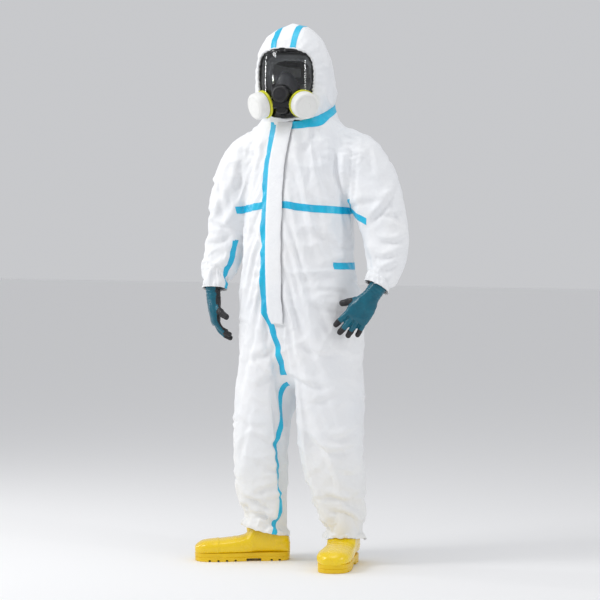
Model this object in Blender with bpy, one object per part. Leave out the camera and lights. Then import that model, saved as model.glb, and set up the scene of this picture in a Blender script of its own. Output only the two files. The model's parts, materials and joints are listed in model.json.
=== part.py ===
"""Chemical protective suit, standing as it is worn: a hooded coverall with taped seams, a full-face
respirator with two filters, gloves and boots. Metres, +Z up. The wearer faces -Y, so +X is the wearer's left.

The coverall is modelled as a tailor sees it: one skin (torso, sleeves and trousers joined), cut into its
panels by planes along the seams. Tapes and elastics are cut the same way from skins slightly outside or
inside the fabric.
"""

import math

import bmesh
import bpy
from mathutils import Matrix, Vector

MM = 0.001
X, Y, Z = Vector((1, 0, 0)), Vector((0, 1, 0)), Vector((0, 0, 1))

# --- driving dimensions, in metres ---
ORIGIN = Vector((0.0281, -0.0371, 0.0))  # centre of the finished suit's base, in body coordinates
FABRIC = 2.0 * MM  # wall of the fabric solids
GAP = 0.4 * MM  # between neighbouring pieces
TAPE = 0.8 * MM  # thickness of a seam tape
TAPE_WIDTH = 24 * MM
INSEAM_TAPE_WIDTH, SLEEVE_TAPE_WIDTH, HOOD_TAPE_WIDTH = 20 * MM, 21.6 * MM, 20 * MM
RUBBER = 3.0 * MM  # wall of the boots
GLOVE_WALL = 1.6 * MM

ZIP_CENTRE_Y, ZIP_CENTRE_Z, ZIP_RADIUS = 1.975, 1.075, 2.139  # the zip lies on this arc in the plane X = 0
ZIP_TOP, ZIP_BOTTOM = 1.505, 0.842
ZIP_HALF = 15.5 * MM  # half the opening between the two front panels
FLAP_LEFT, FLAP_RIGHT = 33 * MM, -33 * MM  # free edge and sewn edge of the storm flap
FLAP_CORNER = 6 * MM

CHEST_SEAM_Z = 1.239
TROUSER_SEAM_Z = 0.84
SIDE_SEAM_Y = -0.005
CROTCH_Z = 0.655
WAIST_TAPE_Z, WAIST_TAPE_START_Y = 1.050, -0.072
KNEE_TOP_Z, KNEE_BOTTOM_Z = 0.495, 0.335
ARMHOLE_IN, ARMHOLE_OUT = 0.172, 0.2085  # the shoulder's soft band lies between these planes
HIP_HALF = 0.2395  # just outside the widest part of the hips
ELBOW_TOP_Z, ELBOW_BOTTOM_Z = 1.222, 1.078  # the elbow's soft band
CUFF_Z_RIGHT, CUFF_Z_LEFT = 0.945, 0.958
CUFF_LENGTH = 13 * MM
NECK_FRONT, NECK_BACK = Vector((0, -0.12, 1.522)), Vector((0, 0.10, 1.598))
HOOD_NECK_RISE = 0.034  # height of the soft neck of the hood, above the collar seam

HEAD = Vector((0.0, -0.047, 0.0))
HEAD_YAW = math.radians(17)
FOOT_YAW_RIGHT, FOOT_YAW_LEFT = math.radians(-50), math.radians(23)
SOLE_TOP = 30 * MM

# z, half width, front, back (front None: on the zip's arc)
TORSO = [
    (0.628, 0.050, -0.034, 0.036),
    (0.652, 0.130, -0.076, 0.082),
    (0.690, 0.208, -0.124, 0.130),
    (0.750, 0.236, -0.147, 0.148),
    (0.840, 0.238, None, 0.152),
    (0.940, 0.228, None, 0.146),
    (1.040, 0.206, None, 0.128),
    (1.140, 0.202, None, 0.126),
    (1.240, 0.206, None, 0.138),
    (1.340, 0.206, None, 0.146),
    (1.420, 0.205, None, 0.140),
    (1.470, 0.190, None, 0.122),
    (1.505, 0.168, None, 0.110),
    (1.530, 0.130, -0.123, 0.108),
    (1.570, 0.112, -0.120, 0.112),
    (1.660, 0.110, -0.110, 0.112),
]
HOOD = [
    (1.470, 0.100, -0.070, 0.125),
    (1.540, 0.118, -0.088, 0.146),
    (1.600, 0.133, -0.100, 0.166),
    (1.660, 0.131, -0.112, 0.166),
    (1.720, 0.122, -0.117, 0.150),
    (1.770, 0.109, -0.112, 0.130),
    (1.810, 0.089, -0.086, 0.104),
    (1.840, 0.058, -0.050, 0.070),
    (1.856, 0.022, -0.014, 0.026),
]
# centre, half size forwards and backwards, half size across
ARM_RIGHT = [
    ((-0.105, -0.030, 1.405), 0.078, 0.085),
    ((-0.180, -0.044, 1.392), 0.090, 0.108),
    ((-0.226, -0.052, 1.345), 0.090, 0.100),
    ((-0.258, -0.056, 1.265), 0.084, 0.086),
    ((-0.286, -0.056, 1.160), 0.074, 0.072),
    ((-0.298, -0.070, 1.060), 0.070, 0.067),
    ((-0.301, -0.094, 0.985), 0.058, 0.056),
    ((-0.298, -0.106, 0.930), 0.043, 0.042),
    ((-0.297, -0.110, 0.905), 0.041, 0.040),
]
ARM_LEFT = [
    ((0.110, 0.010, 1.405), 0.078, 0.085),
    ((0.192, 0.030, 1.400), 0.094, 0.110),
    ((0.250, 0.044, 1.350), 0.093, 0.100),
    ((0.296, 0.046, 1.265), 0.088, 0.088),
    ((0.334, 0.042, 1.160), 0.080, 0.078),
    ((0.352, 0.012, 1.060), 0.070, 0.069),
    ((0.350, -0.030, 0.985), 0.058, 0.056),
    ((0.340, -0.053, 0.945), 0.043, 0.042),
    ((0.330, -0.062, 0.925), 0.041, 0.040),
]
LEG_RIGHT = [
    ((-0.116, -0.012, 0.810), 0.108, 0.120),
    ((-0.120, -0.018, 0.700), 0.112, 0.130),
    ((-0.132, -0.028, 0.580), 0.110, 0.124),
    ((-0.141, -0.042, 0.420), 0.106, 0.112),
    ((-0.137, -0.043, 0.280), 0.095, 0.102),
    ((-0.128, -0.040, 0.170), 0.087, 0.094),
    ((-0.124, -0.038, 0.060), 0.084, 0.090),
]
LEG_LEFT = [
    ((0.116, 0.004, 0.810), 0.108, 0.120),
    ((0.120, 0.006, 0.700), 0.112, 0.130),
    ((0.130, 0.010, 0.580), 0.112, 0.124),
    ((0.131, 0.008, 0.420), 0.112, 0.114),
    ((0.146, 0.032, 0.280), 0.095, 0.102),
    ((0.152, 0.044, 0.150), 0.082, 0.088),
    ((0.152, 0.045, 0.040), 0.080, 0.084),
]
TORSO_SIDES, LEG_SIDES, ARM_SIDES, HOOD_SIDES = 24, 14, 12, 22
# hem: height on the limb's axis, and how much the hem rises per metre towards the toe
HEM_RIGHT, HEM_LEFT = (0.102, 0.23), (0.088, 0.10)

LEGS = (
    ("right", -1, LEG_RIGHT, HEM_RIGHT, FOOT_YAW_RIGHT),
    ("left", 1, LEG_LEFT, HEM_LEFT, FOOT_YAW_LEFT),
)

FILTER_OUT, FILTER_DOWN = math.radians(40), math.radians(15)  # the way the filters face
FILTER_CENTRE = (0.0835, -0.1246, 1.5732)  # of the left filter, in head coordinates
# points on the axes that the moving pieces turn about
PIVOTS = [
    ((-0.190, -0.046, 1.400), ("sleeve_upper_right", "sleeve_elbow_right")),
    ((0.200, 0.030, 1.400), ("sleeve_upper_left", "sleeve_elbow_left")),
    ((-0.290, -0.062, 1.150), ("sleeve_forearm_right", "cuff_elastic_right")),
    ((-0.290, -0.062, 1.150), ("tape_sleeve_right", "glove_right")),
    ((0.336, 0.034, 1.150), ("sleeve_forearm_left", "cuff_elastic_left")),
    ((0.336, 0.034, 1.150), ("tape_sleeve_left", "glove_left")),
    ((-0.141, -0.042, 0.415), ("trouser_shin_right", "tape_inseam_right", "boot_right")),
    ((0.132, 0.009, 0.415), ("trouser_shin_left", "tape_inseam_left", "boot_left")),
    ((FLAP_RIGHT, -0.168, 1.170), ("storm_flap",)),
    ((0.000, ZIP_CENTRE_Y, ZIP_CENTRE_Z), ("zip_slider", "zip_pull")),
]


# --- mesh helpers ---
def collection(name, hidden=False):
    made = bpy.data.collections.new(name)
    made.hide_render = hidden
    bpy.context.scene.collection.children.link(made)
    return made


def start():
    for obj in list(bpy.data.objects):
        bpy.data.objects.remove(obj)
    return collection("chemical_protective_suit"), collection("cutters", hidden=True)


def new_object(name, bm, where):
    mesh = bpy.data.meshes.new(name)
    bm.to_mesh(mesh)
    bm.free()
    obj = bpy.data.objects.new(name, mesh)
    obj.display_type = "WIRE"
    where.objects.link(obj)
    return obj


def loft(rings):
    """A closed solid through rings of points, each ring running anticlockwise about the loft's direction."""
    bm = bmesh.new()
    rows = [[bm.verts.new(p) for p in ring] for ring in rings]
    for low, high in zip(rows, rows[1:]):
        for i in range(len(low)):
            j = (i + 1) % len(low)
            bm.faces.new((low[i], low[j], high[j]))
            bm.faces.new((low[i], high[j], high[i]))
    bm.faces.new(list(reversed(rows[0])))
    bm.faces.new(rows[-1])
    bmesh.ops.recalc_face_normals(bm, faces=bm.faces)
    return new_object("loft", bm, CUTTERS)


def catmull_rom(a, b, c, d, t):
    square, cube = t**2, t**3
    return 0.5 * (2 * b + (c - a) * t + (2 * a - 5 * b + 4 * c - d) * square + (3 * b - a - 3 * c + d) * cube)


def spline(points, count):
    """count values along a smooth curve through a list of tuples of numbers (Catmull-Rom)."""
    found = []
    spans = len(points) - 1
    for k in range(count):
        at = k * spans / (count - 1)
        i = min(int(at), spans - 1)
        t = at - i
        p = [points[min(max(i + d, 0), spans)] for d in (-1, 0, 1, 2)]
        found.append(tuple(catmull_rom(*column, t) for column in zip(*p)))
    return found


def oval(centre, across, along, half_a, half_b, sides, power=2.0):
    """A superellipse of points: half sizes half_a on the unit vector across and half_b on along."""
    ring = []
    for k in range(sides):
        c, s = math.cos(2 * math.pi * k / sides), math.sin(2 * math.pi * k / sides)
        a = math.copysign(abs(c) ** (2 / power), c) * half_a
        b = math.copysign(abs(s) ** (2 / power), s) * half_b
        ring.append(centre + across * a + along * b)
    return ring


def slices(rows, offset, sides, centre=Vector(), yaw=0.0, longer=0.0):
    """A loft of level rings: rows are (z, half width, front, back)."""
    turn = Matrix.Rotation(yaw, 3, "Z")
    across, along = turn @ X, turn @ Y
    rings = []
    for i, (z, half, front, back) in enumerate(rows):
        z += {0: -longer, len(rows) - 1: longer}.get(i, 0.0)
        front = front_y(z) if front is None else front
        middle = centre + along * ((front + back) / 2) + Z * z
        rings.append(oval(middle, across, along, half + offset, (back - front) / 2 + offset, sides, 2.5))
    return loft(rings)


def limb(rows, offset, sides, count, reference, longer=0.0):
    """A tube along a limb: rows are (centre, half size on the reference direction, half size across it)."""
    flat = spline([(*c, a, b) for c, a, b in rows], count)
    centres = [Vector(row[:3]) for row in flat]
    rings = []
    for i, row in enumerate(flat):
        way = (centres[min(i + 1, count - 1)] - centres[max(i - 1, 0)]).normalized()
        across = (reference - way * reference.dot(way)).normalized()
        end = centres[i] + way * (longer if i == count - 1 else 0.0)
        rings.append(oval(end, across, way.cross(across), row[3] + offset, row[4] + offset, sides))
    return loft(rings)


def tube(outer, inner):
    """A closed wall between two sets of rings that run the same way."""
    bm = bmesh.new()
    rows = [[bm.verts.new(p) for p in ring] for ring in outer + inner[::-1]]
    for low, high in zip(rows, rows[1:] + rows[:1]):
        for i in range(len(low)):
            j = (i + 1) % len(low)
            bm.faces.new((low[i], low[j], high[j], high[i]))
    bmesh.ops.recalc_face_normals(bm, faces=bm.faces)
    return new_object("tube", bm, CUTTERS)


def applied(obj, name, where):
    """The object's evaluated mesh as a new plain object, and the old object removed."""
    graph = bpy.context.evaluated_depsgraph_get()
    mesh = bpy.data.meshes.new_from_object(obj.evaluated_get(graph))
    made = bpy.data.objects.new(name, mesh)
    made.display_type = "WIRE"
    made.matrix_world = obj.matrix_world
    where.objects.link(made)
    bpy.data.objects.remove(obj)
    return made


def boolean(obj, other, operation, keep_other=False):
    modifier = obj.modifiers.new(operation, "BOOLEAN")
    modifier.operation = operation
    modifier.solver = "EXACT"
    modifier.object = other
    made = applied(obj, obj.name, CUTTERS)
    if not keep_other:
        bpy.data.objects.remove(other)
    return made


def union(first, *others):
    for other in others:
        first = boolean(first, other, "UNION")
    return first


def minus(first, *others):
    for other in others:
        first = boolean(first, other, "DIFFERENCE")
    return first


def copy_of(obj):
    made = obj.copy()
    made.data = obj.data.copy()
    CUTTERS.objects.link(made)
    return made


def region(*planes):
    """A block bounded by planes, each (point, outward normal), moved inwards by half the gap."""
    bm = bmesh.new()
    bmesh.ops.create_cube(bm, size=4.0)
    for point, normal in planes:
        normal = Vector(normal).normalized()
        bmesh.ops.bisect_plane(
            bm,
            geom=bm.verts[:] + bm.edges[:] + bm.faces[:],
            plane_co=Vector(point) - normal * (GAP / 2),
            plane_no=normal,
            clear_outer=True,
        )
        rim = [e for e in bm.edges if len(e.link_faces) == 1]
        bmesh.ops.holes_fill(bm, edges=rim, sides=0)
    bmesh.ops.recalc_face_normals(bm, faces=bm.faces)
    return new_object("region", bm, CUTTERS)


def above(z):
    return (0, 0, z), (0, 0, -1)


def below(z):
    return (0, 0, z), (0, 0, 1)


def largest_body(obj):
    """Drops the stray slivers that a cut leaves beside the piece itself."""
    bm = bmesh.new()
    bm.from_mesh(obj.data)
    left, bodies = set(bm.verts), []
    while left:
        body, edge = set(), [left.pop()]
        while edge:
            vert = edge.pop()
            body.add(vert)
            near = {e.other_vert(vert) for e in vert.link_edges} & left
            left -= near
            edge.extend(near)
        bodies.append(body)
    keep = max(bodies, key=len)
    bmesh.ops.delete(bm, geom=[v for v in bm.verts if v not in keep], context="VERTS")
    bm.to_mesh(obj.data)
    bm.free()
    return obj


def cut(source, name, material, *planes, without=()):
    """A named piece: the part of the source inside the planes, less the cutters."""
    piece = boolean(copy_of(source), region(*planes), "INTERSECT")
    return finish(largest_body(minus(piece, *without)), name, material)


def cylinder(start_point, direction, radius, length, sides=24, end_radius=None):
    bm = bmesh.new()
    bmesh.ops.create_cone(
        bm,
        cap_ends=True,
        segments=sides,
        radius1=radius,
        radius2=radius if end_radius is None else end_radius,
        depth=length,
    )
    bmesh.ops.translate(bm, verts=bm.verts, vec=Z * (length / 2))
    turn = direction.to_track_quat("Z", "Y").to_matrix().to_4x4()
    bmesh.ops.transform(bm, matrix=Matrix.Translation(start_point) @ turn, verts=bm.verts)
    return new_object("cylinder", bm, CUTTERS)


def prism(outline, depth_start, depth_end):
    """A prism along Y in head coordinates: outline is a list of (x, z)."""
    rings = [[Vector((x, y, z)) for x, z in outline] for y in (depth_start, depth_end)]
    return loft(rings)


def box(low, high):
    bm = bmesh.new()
    bmesh.ops.create_cube(bm, size=1.0)
    low, high = Vector(low), Vector(high)
    for vert in bm.verts:
        vert.co = (low + high) / 2 + Vector(a * b for a, b in zip(vert.co, high - low))
    return new_object("box", bm, CUTTERS)


def finish(obj, name, material):
    """Names a finished piece, gives it its material and puts it in the suit's collection."""
    CUTTERS.objects.unlink(obj)
    SUIT.objects.link(obj)
    obj.name = obj.data.name = name
    obj.display_type = "TEXTURED"
    obj.data.materials.clear()
    obj.data.materials.append(material)
    obj.data.shade_smooth()
    obj.data.set_sharp_from_angle(angle=math.radians(40))
    return obj


def to_head(obj):
    """Turns a piece from head coordinates (face towards -Y, centre line on Z) to the suit's."""
    obj.data.transform(Matrix.Translation(HEAD) @ Matrix.Rotation(HEAD_YAW, 4, "Z"))
    return obj


def material(name, colour, roughness, metallic=0.0, alpha=1.0):
    made = bpy.data.materials.new(name)
    made.use_nodes = True
    shader = made.node_tree.nodes["Principled BSDF"]
    shader.inputs["Base Color"].default_value = (*colour, 1.0)
    shader.inputs["Roughness"].default_value = roughness
    shader.inputs["Metallic"].default_value = metallic
    shader.inputs["Alpha"].default_value = alpha
    made.diffuse_color = (*colour, alpha)
    return made


def make_materials():
    return {
        "fabric": material("fabric_white", (0.86, 0.87, 0.88), 0.6),
        "tape": material("tape_cyan", (0.02, 0.55, 0.78), 0.4),
        "elastic": material("elastic_white", (0.80, 0.80, 0.80), 0.8),
        "zip": material("zip_white", (0.75, 0.77, 0.78), 0.5),
        "black": material("rubber_black", (0.03, 0.03, 0.035), 0.5),
        "lens": material("lens_clear", (0.9, 0.93, 0.95), 0.05, alpha=0.3),
        "filter": material("filter_white", (0.82, 0.82, 0.80), 0.45),
        "yellow_ring": material("ring_yellow", (0.80, 0.78, 0.05), 0.4),
        "glove": material("glove_teal", (0.01, 0.26, 0.34), 0.35),
        "boot": material("boot_yellow", (0.87, 0.66, 0.01), 0.35),
    }


# --- the coverall's skin ---
def front_y(z):
    """The coverall's front centre line: the zip's arc."""
    return ZIP_CENTRE_Y - math.sqrt(ZIP_RADIUS**2 - (z - ZIP_CENTRE_Z) ** 2)


def skin_solid(offset, longer=0.0):
    """The whole coverall below the collar as one solid, grown by offset."""
    return union(
        slices(TORSO, offset, TORSO_SIDES, longer=longer),
        limb(LEG_RIGHT, offset, LEG_SIDES, 9, X, longer),
        limb(LEG_LEFT, offset, LEG_SIDES, 9, X, longer),
        limb(ARM_RIGHT, offset, ARM_SIDES, 11, Y, longer),
        limb(ARM_LEFT, offset, ARM_SIDES, 11, Y, longer),
    )


def skin_shell(outer, inner):
    """A hollow coverall whose wall lies between two offsets from the fabric's outer surface."""
    return minus(skin_solid(outer), skin_solid(inner, 0.02))


def hood_shell(outer, inner):
    return minus(
        slices(HOOD, outer, HOOD_SIDES, HEAD, HEAD_YAW),
        slices([(HOOD[0][0] - 0.02, *HOOD[0][1:])] + HOOD[1:], inner, HOOD_SIDES, HEAD, HEAD_YAW),
    )


def inside(half_width):
    return ((half_width, 0, 0), (1, 0, 0)), ((-half_width, 0, 0), (-1, 0, 0))


def outside(side, distance):
    return (side * distance, 0, 0), (-side, 0, 0)


def sleeve_space():
    """The room the two sleeves take beside the body: wider from the hips' top up."""
    found = []
    for side in (-1, 1):
        for near, low, high in ((ARMHOLE_OUT - GAP / 2, 1.03, 1.6), (HIP_HALF, 0.8, 1.04)):
            ends = sorted((side * near, side * 0.6))
            found.append(box((ends[0], -0.4, low), (ends[1], 0.4, high)))
    return found


def armhole_space():
    near, far = ARMHOLE_IN - GAP / 2, 0.6
    low, high = CHEST_SEAM_Z - GAP / 2, 1.7
    return [box((near, -0.4, low), (far, 0.4, high)), box((-far, -0.4, low), (-near, 0.4, high))]


def limb_plane(rows, z, towards_end):
    """The plane across a limb where its centre line is at height z."""
    flat = spline([c for c, _, _ in rows], 200)
    i = min(range(1, 199), key=lambda k: abs(flat[k][2] - z))
    way = (Vector(flat[i + 1]) - Vector(flat[i - 1])).normalized()
    return Vector(flat[i]), way if towards_end else -way


def neck_plane(rise, keep_below):
    across = (NECK_BACK - NECK_FRONT).normalized()
    up = X.cross(across).normalized()
    return NECK_FRONT + up * rise, up if keep_below else -up


def hem_plane(rows, hem, foot_yaw):
    """The trouser hem, higher over the instep than at the heel."""
    height, slope = hem
    toe = foot_direction(foot_yaw)
    centre = Vector(spline([c for c, _, _ in rows], 3)[-1])
    return Vector((centre.x, centre.y, height)), toe * slope - Z


def foot_direction(yaw):
    return Vector((math.sin(yaw), -math.cos(yaw), 0))


def make_torso(shell, m):
    yoke = *inside(ARMHOLE_IN), above(CHEST_SEAM_Z), neck_plane(0, True)
    body = above(TROUSER_SEAM_Z), below(CHEST_SEAM_Z)
    front = ((0, SIDE_SEAM_Y, 0), (0, 1, 0))
    for name, side in (("right", -1), ("left", 1)):
        edge = outside(side, ZIP_HALF)
        cut(shell, f"yoke_front_{name}", m["fabric"], *yoke, front, edge)
        cut(shell, f"body_front_{name}", m["fabric"], *body, front, edge, without=sleeve_space())
    back = above(TROUSER_SEAM_Z), neck_plane(0, True), ((0, SIDE_SEAM_Y, 0), (0, -1, 0))
    cut(shell, "back_panel", m["fabric"], *back, without=sleeve_space() + armhole_space())


def make_sleeves(shell, m):
    for name, side, rows in (("right", -1, ARM_RIGHT), ("left", 1, ARM_LEFT)):
        soft = outside(side, ARMHOLE_IN), outside(-side, -ARMHOLE_OUT)
        cut(shell, f"armhole_{name}", m["fabric"], *soft, above(CHEST_SEAM_Z))
        cuff = CUFF_Z_RIGHT if side < 0 else CUFF_Z_LEFT
        arm = outside(side, ARMHOLE_OUT)
        cut(shell, f"sleeve_upper_{name}", m["fabric"], arm, limb_plane(rows, ELBOW_TOP_Z, True))
        elbow = limb_plane(rows, ELBOW_TOP_Z, False), limb_plane(rows, ELBOW_BOTTOM_Z, True)
        cut(shell, f"sleeve_elbow_{name}", m["fabric"], arm, *elbow)
        forearm = limb_plane(rows, ELBOW_BOTTOM_Z, False), limb_plane(rows, cuff, True)
        cut(shell, f"sleeve_forearm_{name}", m["fabric"], arm, *forearm)
        point, way = limb_plane(rows, cuff, True)
        ends = (point, -way), (point + way * CUFF_LENGTH, way)
        cut(shell, f"cuff_elastic_{name}", m["elastic"], arm, *ends)


def make_trousers(shell, m):
    cut(shell, "trouser_top", m["fabric"], below(TROUSER_SEAM_Z), above(KNEE_TOP_Z))
    for name, side, rows, hem, yaw in LEGS:
        own = outside(side, 0.0)
        cut(shell, f"trouser_knee_{name}", m["fabric"], own, below(KNEE_TOP_Z), above(KNEE_BOTTOM_Z))
        shin = below(KNEE_BOTTOM_Z), hem_plane(rows, hem, yaw)
        cut(shell, f"trouser_shin_{name}", m["fabric"], own, *shin)


# --- seam tapes ---
def make_tapes(m):
    skin = skin_shell(GAP + TAPE, GAP)
    half = TAPE_WIDTH / 2
    sides = inside(ARMHOLE_OUT)
    band = above(CHEST_SEAM_Z - half), below(CHEST_SEAM_Z + half)
    front = ((0, SIDE_SEAM_Y, 0), (0, 1, 0))
    edge = FLAP_RIGHT - GAP, FLAP_RIGHT - GAP - TAPE_WIDTH
    right, left = ((edge[1] - GAP, 0, 0), (1, 0, 0)), ((FLAP_LEFT + 2 * MM, 0, 0), (-1, 0, 0))
    cut(skin, "tape_chest_right", m["tape"], *band, *sides, front, right)
    cut(skin, "tape_chest_left", m["tape"], *band, *sides, front, left)
    strip = ((edge[0], 0, 0), (1, 0, 0)), ((edge[1], 0, 0), (-1, 0, 0))
    ends = neck_plane(-2 * GAP, True), above(ZIP_BOTTOM - 8 * MM)
    cut(skin, "tape_flap_edge", m["tape"], *strip, front, *ends)
    collar = neck_plane(-TAPE_WIDTH, False), neck_plane(-GAP, True)
    flap_gap = box((edge[1] - GAP, -0.3, 1.4), (FLAP_LEFT + 2 * MM, -0.05, 1.58))
    cut(skin, "tape_collar", m["tape"], *collar, *inside(ARMHOLE_IN), without=[flap_gap])
    make_crotch_tape(skin, m)
    waist = above(WAIST_TAPE_Z - half), below(WAIST_TAPE_Z + half)
    cut(skin, "tape_waist", m["tape"], *waist, *sides, ((0, WAIST_TAPE_START_Y, 0), (0, -1, 0)))
    for name, _, rows, hem, yaw in LEGS:
        planes = inseam_planes(name, rows[4][0])
        shin = below(KNEE_BOTTOM_Z), hem_plane(rows, hem, yaw)
        cut(skin, f"tape_inseam_{name}", m["tape"], *planes, *shin)
    for name, rows in (("right", ARM_RIGHT), ("left", ARM_LEFT)):
        make_sleeve_tape(skin, name, rows, m)
    bpy.data.objects.remove(skin)


def strip_planes(centre, facing, half):
    """Two planes either side of a strip that faces a level direction, and one that keeps only that side."""
    side = Z.cross(facing)
    return (centre + side * half, side), (centre - side * half, -side), (centre, -facing)


def inseam_planes(name, centre):
    side = 1 if name == "right" else -1
    facing = Vector((side * 0.97, -0.24, 0))
    return *strip_planes(Vector(centre), facing, INSEAM_TAPE_WIDTH / 2), outside(-side, 3 * MM)


def make_crotch_tape(skin, m):
    """The front crotch seam's tape, forking down the inside of both thighs."""
    ends = below(ZIP_BOTTOM - 0.014), above(CROTCH_Z - 0.04)
    cutter = region(*inside(TAPE_WIDTH / 2), *ends, ((0, 0.02, 0), (0, 1, 0)))
    cutter = union(cutter, box((-0.034, -0.090, CROTCH_Z - 0.036), (0.034, -0.041, CROTCH_Z + 0.022)))
    for name, _, rows, _, _ in LEGS:
        thigh = region(*inseam_planes(name, rows[2][0]), below(CROTCH_Z + 0.01), above(KNEE_TOP_Z))
        cutter = union(cutter, thigh)
    finish(largest_body(boolean(copy_of(skin), cutter, "INTERSECT")), "tape_crotch", m["tape"])


def make_sleeve_tape(skin, name, rows, m):
    side = 1 if name == "right" else -1
    middle = Vector(rows[6][0])
    facing = Vector((side * 0.995, 0.08, 0))
    planes = strip_planes(middle, facing, SLEEVE_TAPE_WIDTH / 2)
    ends = limb_plane(rows, ELBOW_BOTTOM_Z, False), limb_plane(rows, CUFF_Z_LEFT + 4 * MM, True)
    cut(skin, f"tape_sleeve_{name}", m["tape"], *planes, *ends, outside(-side, ARMHOLE_OUT))


# --- front closure ---
def arc_strip(section, top, bottom, stations=15):
    """Sweeps a section of (x, height above the fabric's surface) along the zip's arc, top to bottom."""
    rings = []
    for k in range(stations):
        z = top + (bottom - top) * k / (stations - 1)
        out = Vector((0, front_y(z) - ZIP_CENTRE_Y, z - ZIP_CENTRE_Z)).normalized()
        rings.append([Vector((x, front_y(z), z)) + out * height for x, height in section])
    return loft(rings)


def make_closure(m):
    chain, edge = 3.4 * MM, ZIP_HALF - GAP
    for name, side in (("right", -1), ("left", 1)):
        section = [
            (side * 0.3 * MM, -3.6 * MM),
            (side * edge, -1.8 * MM),
            (side * edge, -0.6 * MM),
            (side * chain, -2.0 * MM),
            (side * (chain - 0.6 * MM), -0.4 * MM),
            (side * 0.3 * MM, -0.2 * MM),
        ]
        finish(arc_strip(section, ZIP_TOP, ZIP_BOTTOM), f"zip_tape_{name}", m["zip"])
    wall = 1.4 * MM
    lift = 6.0 * MM
    base = 1.0 * MM
    flap = [
        (FLAP_RIGHT, base),
        (FLAP_RIGHT + FLAP_CORNER, lift),
        (FLAP_LEFT - FLAP_CORNER, lift),
        (FLAP_LEFT, base),
        (FLAP_LEFT, base + wall),
        (FLAP_LEFT - FLAP_CORNER + 0.5 * MM, lift + wall),
        (FLAP_RIGHT + FLAP_CORNER - 0.5 * MM, lift + wall),
        (FLAP_RIGHT, base + wall),
    ]
    finish(arc_strip(flap, ZIP_TOP + 6 * MM, ZIP_BOTTOM - 8 * MM), "storm_flap", m["fabric"])


def make_slider(m):
    z = ZIP_TOP - 16 * MM
    body = [(-5 * MM, 0.4 * MM), (5 * MM, 0.4 * MM), (4 * MM, 3.2 * MM), (-4 * MM, 3.2 * MM)]
    bridge = [(-1.6 * MM, 3.0 * MM), (1.6 * MM, 3.0 * MM), (1.2 * MM, 5.2 * MM), (-1.2 * MM, 5.2 * MM)]
    slider = union(arc_strip(body, z + 6 * MM, z - 6 * MM, 3), arc_strip(bridge, z + 4 * MM, z - 2 * MM, 3))
    finish(slider, "zip_slider", m["zip"])
    pull = [(-3.5 * MM, 3.7 * MM), (3.5 * MM, 3.7 * MM), (3.5 * MM, 5.0 * MM), (-3.5 * MM, 5.0 * MM)]
    finish(arc_strip(pull, z - 2.6 * MM, z - 38 * MM, 4), "zip_pull", m["zip"])


# --- hood ---
def face_outline(grow, low=0.0):
    """The face opening in head coordinates, (x, z) points: the respirator's rim grown outwards."""
    points = []
    for x, z in rim_points(24):
        out = Vector((x, z - 1.65)).normalized() * (grow + (low if z < 1.62 else 0.0))
        points.append((x + out.x, z + out.y))
    return points


def rim_points(count):
    """The respirator's rim in head coordinates, as (x, z), from the chin round the left and back."""
    loop = RIM + [(-x, z) for x, z in reversed(RIM[1:-1])]
    wrapped = loop[-1:] + loop + loop[:2]
    fine = spline(wrapped, 12 * (len(wrapped) - 1) + 1)[12:-24]
    return [fine[round(k * len(fine) / count)] for k in range(count)]


def make_hood(m):
    shell = hood_shell(0, -FABRIC)
    opening = to_head(prism(face_outline(0.015, -0.009), -0.30, -0.035))
    ring = to_head(prism(face_outline(0.0075, -0.002), -0.30, -0.03))
    seam = neck_plane(GAP, False)
    soft = neck_plane(HOOD_NECK_RISE, True)
    cut(shell, "hood_neck", m["fabric"], seam, soft, without=[copy_of(opening)])
    top = neck_plane(HOOD_NECK_RISE, False)
    turn = Matrix.Rotation(HEAD_YAW, 3, "Z")
    seam_x = 0.034
    centre = [(HEAD + turn @ X * s * seam_x, turn @ X * s) for s in (1, -1)]
    cut(shell, "hood_centre", m["fabric"], top, *centre, without=[copy_of(opening)])
    for name, side in (("right", -1), ("left", 1)):
        away = (HEAD + turn @ X * side * seam_x, turn @ X * -side)
        cut(shell, f"hood_side_{name}", m["fabric"], top, away, without=[copy_of(opening)])
        skin = hood_shell(GAP + TAPE, GAP)
        edges = ((d, seam_x + d * HOOD_TAPE_WIDTH / 2) for d in (1, -1))
        strip = [(HEAD + turn @ X * side * x, turn @ X * side * d) for d, x in edges]
        front = ((HEAD + turn @ Y * 0.02), turn @ Y)
        cut(skin, f"tape_hood_{name}", m["tape"], top, *strip, above(1.70), front, without=[copy_of(opening)])
        bpy.data.objects.remove(skin)
    inner = to_head(prism(face_outline(0.0146, -0.0094), -0.30, -0.0345))
    band = boolean(copy_of(shell), inner, "INTERSECT")
    band = minus(band, ring, region(neck_plane(HOOD_NECK_RISE, True)))
    finish(band, "hood_face_elastic", m["elastic"])
    for obj in (opening, shell):
        bpy.data.objects.remove(obj)


# --- respirator, in head coordinates ---
# the left half of the rim, (x, z) from chin to brow
RIM = [
    (0.0, 1.536),
    (0.034, 1.540),
    (0.058, 1.556),
    (0.078, 1.588),
    (0.092, 1.630),
    (0.096, 1.680),
    (0.091, 1.724),
    (0.074, 1.750),
    (0.040, 1.760),
    (0.0, 1.762),
]
VALVE = Vector((0, 0, 1.612))
PORTS = ((-1, "right"), (1, "left"))
# the nose cup from its front back: depth, height, half width, half height
NOSE_CUP = [
    (-0.101, 1.606, 0.024, 0.024),
    (-0.088, 1.610, 0.034, 0.038),
    (-0.066, 1.616, 0.040, 0.052),
    (-0.046, 1.618, 0.042, 0.056),
]
SEAL_WALL = 1.8 * MM


def mask_y(x, z):
    """Depth of the respirator's front: bowed round the face and a little from brow to chin."""
    return -0.128 + 0.058 * (abs(x) / 0.096) ** 2.2 + 1.2 * (z - 1.67) ** 2


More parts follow.
